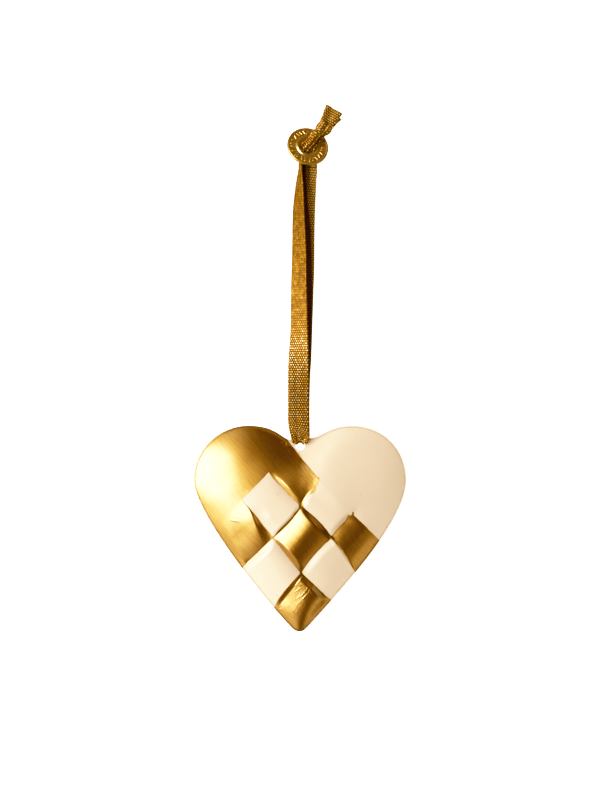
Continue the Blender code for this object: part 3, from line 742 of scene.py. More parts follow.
def make_tag(material):
    turns = 288
    face = [(r, 0.235) for r in np.linspace(3.95, 5.62, 26)]
    profile = np.array(TAG_PROFILE + face)
    angle = np.arange(turns) * 2 * math.pi / turns
    r = profile[:, 0][:, None] + 0 * angle[None]
    z = profile[:, 1][:, None] + 0 * angle[None]
    raised = np.zeros_like(z)
    count = 25
    for k in range(count):
        luck = scramble(np.array(k), np.array(5))
        other = scramble(np.array(k), np.array(9))
        middle = 2 * math.pi * (k + 0.5 * (luck - 0.5)) / count
        lean = math.radians(60.0 * (other - 0.5))
        reach = 0.42 + 0.24 * luck
        centre_r = 4.78 + 0.12 * (other - 0.5)
        x = (np.mod(angle - middle + math.pi, 2 * math.pi) - math.pi)[None] * r
        y = r - centre_r
        along = y * math.cos(lean) + x * math.sin(lean)
        over = x * math.cos(lean) - y * math.sin(lean)
        past = np.maximum(np.abs(along) - reach, 0.0)
        gap = np.hypot(over, past)
        raised = np.maximum(raised, smooth((0.28 - gap) / 0.22))
    front = np.zeros(len(profile), bool)
    front[len(TAG_PROFILE):] = True
    raised *= front[:, None]
    # the dish's lip stands higher on one side, where it was struck
    heavy = np.clip(np.cos(angle - math.radians(215.0)), 0, 1)[None] ** 1.2
    lip = 0.24 * np.exp(-((r - 3.22) / 0.30) ** 2) * heavy
    dent = 0.025 * ripple(r * np.cos(angle)[None], r * np.sin(angle)[None], 2.0, 5.0)
    top = (profile[:, 1] > -0.3)[:, None]
    z = z + 0.20 * raised + np.where(top, dent + lip, 0.0)
    points = np.stack([r * np.cos(angle)[None], r * np.sin(angle)[None], z], -1)
    n = len(profile)
    index = np.arange(n * turns).reshape(n, turns)
    nxt = np.roll(index, -1, axis=1)
    below, below_nxt = np.roll(index, -1, axis=0), np.roll(nxt, -1, axis=0)
    quads = np.stack([index, below, below_nxt, nxt], -1).reshape(-1, 4)
    heading = math.radians(TAG_LIFT_HEADING)
    axis = Vector((math.sin(heading), -math.cos(heading), 0.0))
    spin = np.array(Matrix.Rotation(math.radians(TAG_TILT), 3, axis))
    placed = points.reshape(-1, 3) @ spin.T + np.array(TAG_CENTRE)
    piece = mesh_object("struck_brass_tag", placed, [quads], material, 50)
    flat = front[:, None] * (1 - raised)
    dish = ((profile[:, 0] < 3.5) & (profile[:, 1] > -0.3))[:, None] + 0 * raised
    # paler on the raised strokes, partly rubbed brass and partly a painted highlight, and a painted highlight
    # on one side of the dish's lip
    bright = 0.8 * raised * front[:, None] + np.exp(-((r - 3.30) / 0.24) ** 2) * heavy
    attribute(piece, "hollow", np.clip(0.85 * flat + 0.62 * dish - 1.6 * bright, -1, 1).ravel())
    return piece


# =============================================================== heart
FLANGE_HALF = 0.45
FLANGE_WIDTH = 0.45
FRONT_RISE = 6.4
BACK_RISE = 4.78
RELIEF_BACK = 0.6
RIM_FADE = 3.0
LAND_FLAT = 6.5
LAND_FADE = 4.0
LOBES = {
    -1: dict(crown=(15.8, 31.38), wide=(32.4, 14.85), tip=(2.38, -30.44),
             into_notch=7.1, out_of_crown=8.6, above_wide=9.5,
             below_wide=9.4, above_tip=14.6, tip_angle=0.81,
             notch=(3.97, 27.3), notch_handle=3.1, notch_angle=0.51),
    1: dict(crown=(15.7, 31.34), wide=(32.4, 14.8), tip=(1.84, -30.51),
            into_notch=6.7, out_of_crown=9.6, above_wide=9.6,
            below_wide=12.3, above_tip=16.5, tip_angle=0.83,
            notch=(3.61, 27.66), notch_handle=3.0, notch_angle=0.08),
}
TIP_HANDLE = 1.78
WEB_HANDLE = 1.0
VALLEY = 22.9
VALLEY_HANDLE = (3.6, 2.5)
WEAVE = np.array([
    [(-3.66, 26.99), (5.64, 15.46), (16.07, 4.51), (23.85, -3.20)],
    [(-9.61, 17.23), (0.31, 6.86), (9.46, -2.59), (16.62, -12.96)],
    [(-17.78, 8.81), (-8.24, -2.68), (0.31, -13.57), (8.60, -21.87)],
    [(-25.93, 0.46), (-17.39, -11.59), (-7.63, -23.64), (-0.30, -30.96)],
])

# Small marks in the front shell: from x, y to x, y, width, height of the
# ridge or depth of the dent, and how dark it is.
MARKS = [
    (-20.9, 2.6, -18.8, 2.2, 0.22, 0.10, 0.25),
    (-25.4, 17.8, -25.2, 17.8, 0.20, -0.05, 0.45),
    (1.86, -16.0, 2.6, -17.35, 0.24, 0.025, 0.10),
    (2.6, -17.35, 2.2, -18.3, 0.24, 0.028, 0.10),
    (2.2, -18.3, 0.85, -20.0, 0.24, 0.028, 0.10),
    (0.85, -20.0, -0.64, -21.1, 0.22, 0.021, 0.10),
    (2.9, -17.6, 2.55, -19.0, 0.20, -0.021, 0.30),
    (2.55, -19.0, 0.7, -20.9, 0.20, -0.021, 0.25),
    (3.17, -18.3, 2.68, -19.5, 0.22, 0.021, 0.05),
    (2.68, -19.5, 1.04, -21.3, 0.22, 0.025, 0.05),
    (1.04, -21.3, -0.64, -22.8, 0.22, 0.021, 0.10),
    (-0.64, -22.8, -2.1, -25.3, 0.20, 0.017, 0.10),
    (0.7, -17.35, -1.46, -18.8, 0.20, -0.017, 0.25),
    (0.2, -17.9, -1.5, -19.3, 0.22, 0.017, 0.05),
    (-0.3, -19.5, -1.07, -20.7, 0.20, -0.021, 0.35),
    (-0.8, -17.6, -0.75, -17.65, 0.22, -0.035, 0.90),
    (-6.1, -24.0, -6.0, -24.05, 0.22, -0.05, 0.70),
    (-5.9, -25.0, -5.85, -25.05, 0.16, -0.04, 0.60),
    (9.3, -2.5, 9.9, -3.0, 0.45, 0.22, 0.10),
    (5.6, 1.0, 6.6, -0.1, 0.18, 0.07, 0.00),
    (-13.0, -7.2, -12.6, -7.9, 0.16, -0.04, 0.70),
    (-7.0, -20.4, -6.9, -20.5, 0.20, -0.05, 0.85),
    (-6.8, 10.4, -6.6, 10.6, 0.16, 0.03, 0.35),
    (-6.1, 10.9, -6.0, 10.9, 0.12, 0.03, 0.30),
    (18.3, 10.3, 18.4, 10.3, 0.18, -0.03, 0.50),
    (17.1, 29.0, 17.2, 29.0, 0.18, -0.03, 0.35),
    (-6.4, 25.9, -5.4, 26.1, 0.22, 0.10, 0.00),
    (-5.4, 26.1, -4.9, 25.8, 0.22, 0.10, 0.00),
    (-4.2, 25.9, -3.8, 25.3, 0.26, 0.16, 0.00),
    (-3.6, 25.0, -3.2, 24.9, 0.20, 0.10, 0.00),
    (-3.3, 23.8, -3.1, 23.5, 0.22, 0.12, 0.00),
    (-1.9, 21.6, -0.5, 19.9, 0.14, 0.05, 0.05),
    (-2.6, 21.0, -1.4, 19.4, 0.12, 0.04, 0.05),
    (-9.4, 1.9, -9.0, 1.4, 0.16, -0.04, 0.30),
    (12.3, 20.4, 12.6, 20.1, 0.14, -0.02, 0.20),
    (24.0, 17.0, 24.2, 16.9, 0.14, -0.02, 0.20),
]
# Drops of gold beyond the painted line: x, y, radius.
DROPS = [(16.15, 4.75, 0.34), (14.75, 3.95, 0.36), (14.35, 3.35, 0.26),
         (-6.9, 10.2, 0.10), (-6.5, 10.8, 0.12), (-6.1, 10.5, 0.08),
         (4.9, 21.2, 0.07), (0.35, 7.0, 0.80), (9.65, -2.7, 0.72),
         (-8.2, -2.75, 0.50), (0.35, -13.65, 0.45)]
# Pale smears of enamel on the gold: from x, y to x, y, half width.
SMEARS = [(4.2, -18.3, 6.8, -21.2, 0.55, 0.85), (2.6, -18.0, 3.2, -19.6, 0.22, 0.35),
          (7.0, -21.8, 3.6, -26.6, 2.0, 0.10)]


def cubic(p0, p1, p2, p3, steps=48):
    t = np.linspace(0.0, 1.0, steps + 1)[:, None]
    p0, p1, p2, p3 = (np.array(p, float) for p in (p0, p1, p2, p3))
    return ((1 - t) ** 3 * p0 + 3 * (1 - t) ** 2 * t * p1
            + 3 * (1 - t) * t * t * p2 + t ** 3 * p3)


def even(points, count):
    """A closed curve with its points spaced evenly along it."""
    pts = np.vstack([points, points[:1]])
    keep = np.r_[True, np.linalg.norm(np.diff(pts, axis=0), axis=1) > 1e-9]
    pts = pts[keep]
    run = np.r_[0, np.cumsum(np.linalg.norm(np.diff(pts, axis=0), axis=1))]
    at = np.linspace(0, run[-1], count + 1)[:-1]
    return np.column_stack([np.interp(at, run, pts[:, k]) for k in (0, 1)])


def lobe(side, inset, with_web):
    s = LOBES[side]
    crown = np.array([side * s["crown"][0], s["crown"][1] - inset])
    wide = np.array([side * (s["wide"][0] - inset), s["wide"][1]])
    down = np.array([side * math.cos(s["tip_angle"]), math.sin(s["tip_angle"])])
    inward = np.array([-side * math.sin(s["tip_angle"]), math.cos(s["tip_angle"])])
    tip = np.array([side * s["tip"][0], s["tip"][1]]) + inset * inward
    if with_web:
        start = np.array([side * s["notch"][0], s["notch"][1]])
        lean = np.array([side * math.cos(s["notch_angle"]), math.sin(s["notch_angle"])])
        leave = start + lean * s["notch_handle"]
    else:
        start = np.array([0.0, VALLEY])
        leave = start + np.array([side * VALLEY_HANDLE[0], VALLEY_HANDLE[1]])
    first = cubic(start, leave, crown - (side * s["into_notch"], 0), crown)
    second = cubic(crown, crown + (side * s["out_of_crown"], 0),
                   wide + (0, s["above_wide"]), wide)
    third = cubic(wide, wide - (0, s["below_wide"]), tip + down * s["above_tip"], tip)
    return np.vstack([first, second[1:], third[1:]]), tip, down, start, leave


def outline(inset, with_web, count):
    left, tip_l, down_l, notch_l, leave_l = lobe(-1, inset, with_web)
    right, tip_r, down_r, notch_r, leave_r = lobe(1, inset, with_web)
    tip = cubic(tip_l, tip_l - down_l * TIP_HANDLE, tip_r - down_r * TIP_HANDLE, tip_r, 12)
    parts = [left, tip[1:-1], right[::-1]]
    if with_web:
        web = cubic(notch_r, notch_r - (leave_r - notch_r) / 3 * WEB_HANDLE,
                    notch_l - (leave_l - notch_l) / 3 * WEB_HANDLE, notch_l, 8)
        parts.append(web[1:-1])
    return even(np.vstack(parts), count)


def inflate(points, loop):
    """Smooth height field over a closed loop: 0 on it, like the distance
    to it near it, and rounding off towards the middle."""
    a, b = loop, np.roll(loop, -1, axis=0)
    edge = b - a
    size = np.linalg.norm(edge, axis=1)
    unit_edge = edge / size[:, None]
    total = np.zeros(len(points))
    for start in range(0, len(points), 2000):
        p = points[start:start + 2000, None, :]
        to_a, to_b = a[None] - p, b[None] - p
        height = (to_a[..., 0] * to_b[..., 1] - to_a[..., 1] * to_b[..., 0]) / size
        height = np.where(np.abs(height) < 1e-7, 1e-7, height)
        end = (to_b * unit_edge).sum(-1) / np.linalg.norm(to_b, axis=-1)
        begin = (to_a * unit_edge).sum(-1) / np.linalg.norm(to_a, axis=-1)
        total[start:start + 2000] = ((end - begin) / height).sum(-1)
    return 2.0 / np.maximum(total, 1e-6)


def distance(points, loop):
    a, b = loop, np.roll(loop, -1, axis=0)
    edge = b - a
    out = np.full(len(points), 1e9)
    for k in range(len(a)):
        rel = points - a[k]
        t = np.clip(rel @ edge[k] / (edge[k] @ edge[k]), 0, 1)
        out = np.minimum(out, np.linalg.norm(rel - t[:, None] * edge[k], axis=1))
    return out


def inside(points, loop):
    a, b = loop, np.roll(loop, -1, axis=0)
    out = np.zeros(len(points), bool)
    for start in range(0, len(points), 20000):
        p = points[start:start + 20000]
        x, y = p[:, 0:1], p[:, 1:2]
        cross = (a[:, 1] > y) != (b[:, 1] > y)
        with np.errstate(divide="ignore", invalid="ignore"):
            at = a[:, 0] + (y - a[:, 1]) * (b[:, 0] - a[:, 0]) / (b[:, 1] - a[:, 1])
        out[start:start + 20000] = (cross & (x < at)).sum(1) % 2 == 1
    return out


def basis(t):
    c = np.clip(t, 0.0, 3.0)
    value, slope = [], []
    for i in range(4):
        others = [k for k in range(4) if k != i]
        scale = np.prod([i - k for k in others])
        value.append(np.prod([c - k for k in others], axis=0) / scale)
        slope.append(sum(np.prod([c - k for k in others if k != m], axis=0)
                         for m in others) / scale)
    value, slope = np.array(value), np.array(slope)
    return value + slope * (t - c), slope


def weave_point(a, b):
    va, sa = basis(np.asarray(a, float))
    vb, sb = basis(np.asarray(b, float))
    at = np.einsum("in,jn,ijk->nk", va, vb, WEAVE)
    da = np.einsum("in,jn,ijk->nk", sa, vb, WEAVE)
    db = np.einsum("in,jn,ijk->nk", va, sb, WEAVE)
    return at, da, db


def weave_coords(points):
    """Weave coordinates of plan positions, and a cell's size there."""
    flat = np.column_stack([WEAVE[3, 0] - WEAVE[0, 0], WEAVE[0, 3] - WEAVE[0, 0]]) / 3
    ab = np.linalg.solve(flat, (points - WEAVE[0, 0]).T)
    for _ in range(12):
        at, da, db = weave_point(ab[0], ab[1])
        det = da[:, 0] * db[:, 1] - da[:, 1] * db[:, 0]
        r = points - at
        ab = ab + 0.9 * np.array([(r[:, 0] * db[:, 1] - r[:, 1] * db[:, 0]) / det,
                                  (r[:, 1] * da[:, 0] - r[:, 0] * da[:, 1]) / det])
    size_a = np.abs(det) / np.linalg.norm(db, axis=1)
    size_b = np.abs(det) / np.linalg.norm(da, axis=1)
    return ab[0], ab[1], size_a, size_b


# The nine crossings of the weave, by row and column: how far the strip
# rises above its joints in millimetres; how wide its near and far walls
# are (0: no wall there); and how it comes up from the joint at each end
# of its run: 0, it runs straight on into the lobe or to the rim; above 0,
# the power of its curve; below 0, the width of a short slope.
CELLS = {
    (0, 0): (1.00, 0.0, 1.5, 0.0, 1.8), (0, 1): (1.00, 2.0, 1.7, 0.0, 2.6),
    (0, 2): (1.25, 0.0, 0.5, 1.35, 0.0), (1, 0): (1.00, 0.0, 1.3, 2.6, 2.6),
    (1, 1): (1.56, 2.2, 1.7, 1.7, 1.8), (1, 2): (1.00, 2.5, 0.0, -0.6, 2.6),
    (2, 0): (1.30, 3.6, 0.0, 0.0, 2.4), (2, 1): (1.45, 2.2, 1.4, 2.6, 0.0),
    (2, 2): (1.35, 1.8, 0.0, 1.4, 0.0),
}
# Joints that are pressed more or less than the rest, and by how much: the number
# after the cell is its edge, in the order of the table above.
UNEVEN = {(0, 2, 2): 0.22, (1, 2, 3): 0.22, (2, 1, 2): 0.46, (2, 2, 3): 0.42,
          (0, 2, 3): 1.35, (0, 1, 2): 1.44}
# Joints that start from nothing: from and to along them, by cell and edge.
DEEPEN = {(0, 1, 1): (0.42, 0.95), (0, 0, 4): (0.42, 0.95),
          (2, 0, 1): (0.12, 0.62), (1, 0, 4): (0.12, 0.62)}
# Walls that widen along the strip: from that share of their full width,
# between those two places along it.
WIDENING = {(2, 0): (0.08, 0.18, 1.0), (1, 1): (0.70, 0.0, 0.75)}
# How soft a strip's walls are at their head and foot.
SOFTNESS = {(2, 0): 1.0}
JOINT_DEPTH = 0.80


def per_cell(row, col, value):
    table = np.array([[value(r, c) for c in range(3)] for r in range(3)], float)
    return table[row, col]


def deepening(row, col, edge, place):
    first, last = (per_cell(row, col, lambda r, c: DEEPEN.get((r, c, edge), (-2.0, -1.0))[k])
                   for k in (0, 1))
    return smooth((place - first) / (last - first))


def ramp(t, soft=0.5):
    t = np.clip(t, 0.0, 1.0)
    return (1 - soft) * t + soft * smooth(t)


# Joints that bend off their straight lines: line family, its number, from
# and to along it, how far in millimetres, and whether the paint bends too.
BENDS = [
    ("row", 1, 1.0, 2.0, -0.50, "both"), ("col", 1, 1.0, 2.0, 0.45, "both"),
    ("col", 1, 0.35, 1.0, -0.90, "press"), ("col", 2, 2.0, 9.0, 0.85, "press"),
    ("col", 2, 1.12, 2.0, -0.50, "both"), ("row", 2, 2.0, 3.5, -0.60, "both"),
]


def bent(a, b, size_a, size_b, use):
    """Weave coordinates with the bends taken out."""
    out = {"row": a.copy(), "col": b.copy()}
    for family, number, start, stop, shift, who in BENDS:
        if who != "both" and who != use:
            continue
        off, size, place = (a, size_a, b) if family == "row" else (b, size_b, a)
        if stop > 4:
            share = smooth((place - start + 0.02) / 0.03)
        else:
            share = np.sqrt(np.sin(math.pi * np.clip((place - start) / (stop - start), 0, 1)) + 1e-9)
        near = smooth((0.68 - np.abs(off - number)) / 0.4)
        out[family] = out[family] - shift / size * share * near * (off > number - 0.7)
    return out["row"], out["col"]


def pressed(a, b, size_a, size_b):
    """The weave's relief in millimetres, and how much painted shade falls on a
    point: deep in a joint between strips, and on the middle strip's walls."""
    ca, cb = bent(np.maximum(a, 0.0), np.maximum(b, 0.0), size_a, size_b, "press")
    row, col = np.clip(np.floor(ca), 0, 2).astype(int), np.clip(np.floor(cb), 0, 2).astype(int)
    fa, fb = np.minimum(ca - row, 1.4), np.minimum(cb - col, 1.4)
    gold = (row + col) % 2 == 0
    across, across_size = np.where(gold, fa, fb), np.where(gold, size_a, size_b)
    along, along_size = np.where(gold, fb, fa), np.where(gold, size_b, size_a)
    rise = per_cell(row, col, lambda r, c: CELLS[(r, c)][0])
    narrow, first, last = (per_cell(row, col, lambda r, c: WIDENING.get((r, c), (1.0, 0.0, 1.0))[k])
                           for k in range(3))
    spread = narrow + (1 - narrow) * smooth((along - first) / (last - first))
    soft = per_cell(row, col, lambda r, c: SOFTNESS.get((r, c), 0.5))
    near, far = across * across_size, (1 - across) * across_size
    wall, lines, closest = np.ones(len(a)), np.zeros(len(a)), np.full(len(a), 99.0)
    for gap, k in ((near, 1), (far, 2)):
        width = per_cell(row, col, lambda r, c: CELLS[(r, c)][k]) * spread
        share = per_cell(row, col, lambda r, c: UNEVEN.get((r, c, k), 1.0))
        share = share * deepening(row, col, k, along)
        t = np.where(width > 0, gap / np.maximum(width, 0.01), 9.0)
        wall = wall * (1 - share * (1 - ramp(t, soft)))
        lines += np.where(gold, 0.085, 0.012) * (np.exp(-((t - 0.34) / 0.10) ** 2)
                                                 + np.exp(-((t - 0.70) / 0.10) ** 2))
        closest = np.minimum(closest, np.where(width > 0, gap, 99.0))
    swing = 2 * along - 1
    size = np.sqrt(swing * swing + 0.0016) - 0.04 * (1 - np.abs(swing))
    arch = np.ones(len(a))
    for side, k in ((-1, 3), (1, 4)):
        power = per_cell(row, col, lambda r, c: CELLS[(r, c)][k])
        share = per_cell(row, col, lambda r, c: UNEVEN.get((r, c, k), 1.0))
        share = share * deepening(row, col, k, across)
        gap = (1 - np.abs(swing)) / 2 * along_size
        curve = np.where(power < 0, 1 - ramp(gap / np.maximum(-power, 0.01)),
                         np.clip(size, 0, 1) ** np.maximum(power, 1.0))
        use = (power != 0) & (swing * side > 0)
        arch = np.where(use, 1 - share * curve, arch)
        closest = np.minimum(closest, np.where(use, gap, 99.0))
    fade = smooth((b * size_b + 0.2) / 7.0) * smooth((a * size_a + 3.5) / 8.0)
    height = fade * (rise * arch * wall - JOINT_DEPTH + lines * arch)
    block = (a > -0.05) & (b > -0.05)
    crossing = np.hypot(np.minimum(fa, 1 - fa) * size_a, np.minimum(fb, 1 - fb) * size_b)
    depth = 0.5 * np.exp(-(closest / 0.15) ** 2) * (1 - 0.8 * np.exp(-(crossing / 1.1) ** 2))
    # painted shade on the walls of the middle strip
    wall_shade = np.maximum(0.6 * np.exp(-(near / 1.5) ** 4), 0.5 * np.exp(-(far / 1.3) ** 4))
    depth = np.where((row == 1) & (col == 1), np.maximum(depth, wall_shade), depth)
    depth = np.where(block, fade * depth, 0.0)
    # the cream lobe swells where its strip leaves it, next to the notch
    lift = 0.72 * smooth((0.62 - a) / 0.62) * smooth((a * size_a + 9.0) / 9.0) \
        * smooth((b - 0.48) / 0.62) * smooth((2.2 - b) / 0.9)
    # and the gold strip's edge turns down beside it
    lift -= 0.20 * smooth((b - 0.70) / 0.27) * smooth((0.85 - a) / 0.4) * smooth((a + 0.7) / 0.9) \
        * smooth((1.9 - b) / 0.9)
    return height + lift, depth


FIRST = ((0.0, 0.2, 0.43, 0.55, 0.68, 0.85, 1.0), (0.30, 0.55, 0.80, 0.40, -0.45, -0.30, 0.0))
# Where gold meets cream: line family, its number, from and to along it,
# how far the gold runs over onto the cream side in millimetres, and how:
# evenly, most in the middle, or only along the first part.
JOINTS = [
    ("row", 0, -9.0, 1.0, 0.00, "even"), ("row", 0, 2.0, 9.0, 0.00, "even"),
    ("row", 1, 0.0, 9.0, 0.06, "even"), ("row", 2, 0.0, 9.0, 0.06, "even"),
    ("col", 0, 1.0, 2.0, 0.00, "even"),
    ("col", 1, 0.0, 1.0, 1.00, "first"), ("col", 1, 1.0, 2.0, 0.75, "middle"),
    ("col", 1, 2.0, 9.0, 0.22, "even"),
    ("col", 2, 0.0, 1.0, 0.20, "middle"), ("col", 2, 1.0, 2.0, 0.10, "even"),
    ("col", 2, 2.0, 3.0, 0.60, "middle"),
]


def painted(points, a, b, size_a, size_b):
    """Signed distance in plan to the line between gold (+) and cream (-)."""
    a, b = bent(a, b, size_a, size_b, "paint")
    row, col = np.clip(np.floor(a), 0, 2), np.clip(np.floor(b), 0, 2)
    gold = np.where(a < 0, False, np.where(b < 0, True, (row + col) % 2 == 0))
    wobble = 0.035 * ripple(points[:, 0], points[:, 1], 1.0, 9.0) \
        + 0.030 * ripple(points[:, 0], points[:, 1], 2.0, 2.2)
    over = np.full(len(points), 99.0)
    under = np.full(len(points), -99.0)
    for family, number, start, stop, spill, how in JOINTS:
        if family == "row":
            off, size, place, size_along = a - number, size_a, b, size_b
        else:
            off, size, place, size_along = b - number, size_b, a, size_a
        past = np.maximum(np.maximum(start - place, place - stop), 0.0) * size_along
        d = np.hypot(off * size, past)
        t = np.clip((place - start) / (stop - start), 0.0, 1.0)
        share = {"even": 1.0, "middle": np.sqrt(np.sin(math.pi * t) + 1e-9),
                 "first": np.interp(t, FIRST[0], FIRST[1])}[how]
        run = spill * share * (1.0 + 0.15 * ripple(points[:, 0], points[:, 1], 4.0, 5.0))
        over = np.minimum(over, d + run)
        under = np.maximum(under, run - d)
    value = np.where(gold, over, under) + wobble
    for x, y, radius in DROPS:
        value = np.maximum(value, radius - np.hypot(points[:, 0] - x, points[:, 1] - y))
    return value


def to_segment(points, x0, y0, x1, y1):
    start, way = np.array([x0, y0]), np.array([x1 - x0, y1 - y0])
    t = np.clip((points - start) @ way / max(way @ way, 1e-9), 0, 1)
    return np.linalg.norm(points - start - t[:, None] * way, axis=1)


def weave_rows(spacing, tight):
    """Weave coordinates of the mesh's own lines, close together at joints."""
    size = 14.4
    rows = []
    for cell in range(3):
        near = [d / size for d in tight]
        inner = np.arange(near[-1] + spacing / size, 1 - near[-1] - 0.5 * spacing / size, spacing / size)
        rows += [cell + d for d in near] + [cell + 1 - d for d in near if d > 0] + list(cell + inner)
    rows += list(3 + np.arange(0, 0.25, spacing / size))
    rows += [-d / size for d in tight[1:4]]
    rows += list(-np.arange(tight[3] / size + spacing / size, 3.0, spacing / size))
    return np.unique(np.round(rows, 6))


SEAM_LOOP = outline(FLANGE_WIDTH, False, 360)
RIM_COUNT = 660
RIM_LOOP = outline(0.0, True, RIM_COUNT)
_x, _y = np.meshgrid(np.linspace(-4, 4, 17), np.linspace(-4, 12, 33))
_probe = np.column_stack([_x.ravel(), _y.ravel()])
_puff = inflate(_probe, SEAM_LOOP)
PEAK = float(_puff.max())
LAND_CENTRE = float(_probe[int(_puff.argmax()), 1])


def inward_rings(insets):
    """Copies of the rim moved inwards by each of those distances."""
    way = np.roll(RIM_LOOP, -1, axis=0) - np.roll(RIM_LOOP, 1, axis=0)
    way = unit(way)
    left = np.column_stack([-way[:, 1], way[:, 0]])
    test = RIM_LOOP[RIM_COUNT // 4] + left[RIM_COUNT // 4] * 0.3
    if not inside(test[None], RIM_LOOP)[0]:
        left = -left
    out = []
    for inset in insets:
        ring = RIM_LOOP + left * inset
        ok = inside(ring, RIM_LOOP) & (distance(ring, RIM_LOOP) > inset * 0.93)
        out.append(ring[ok])
    return out


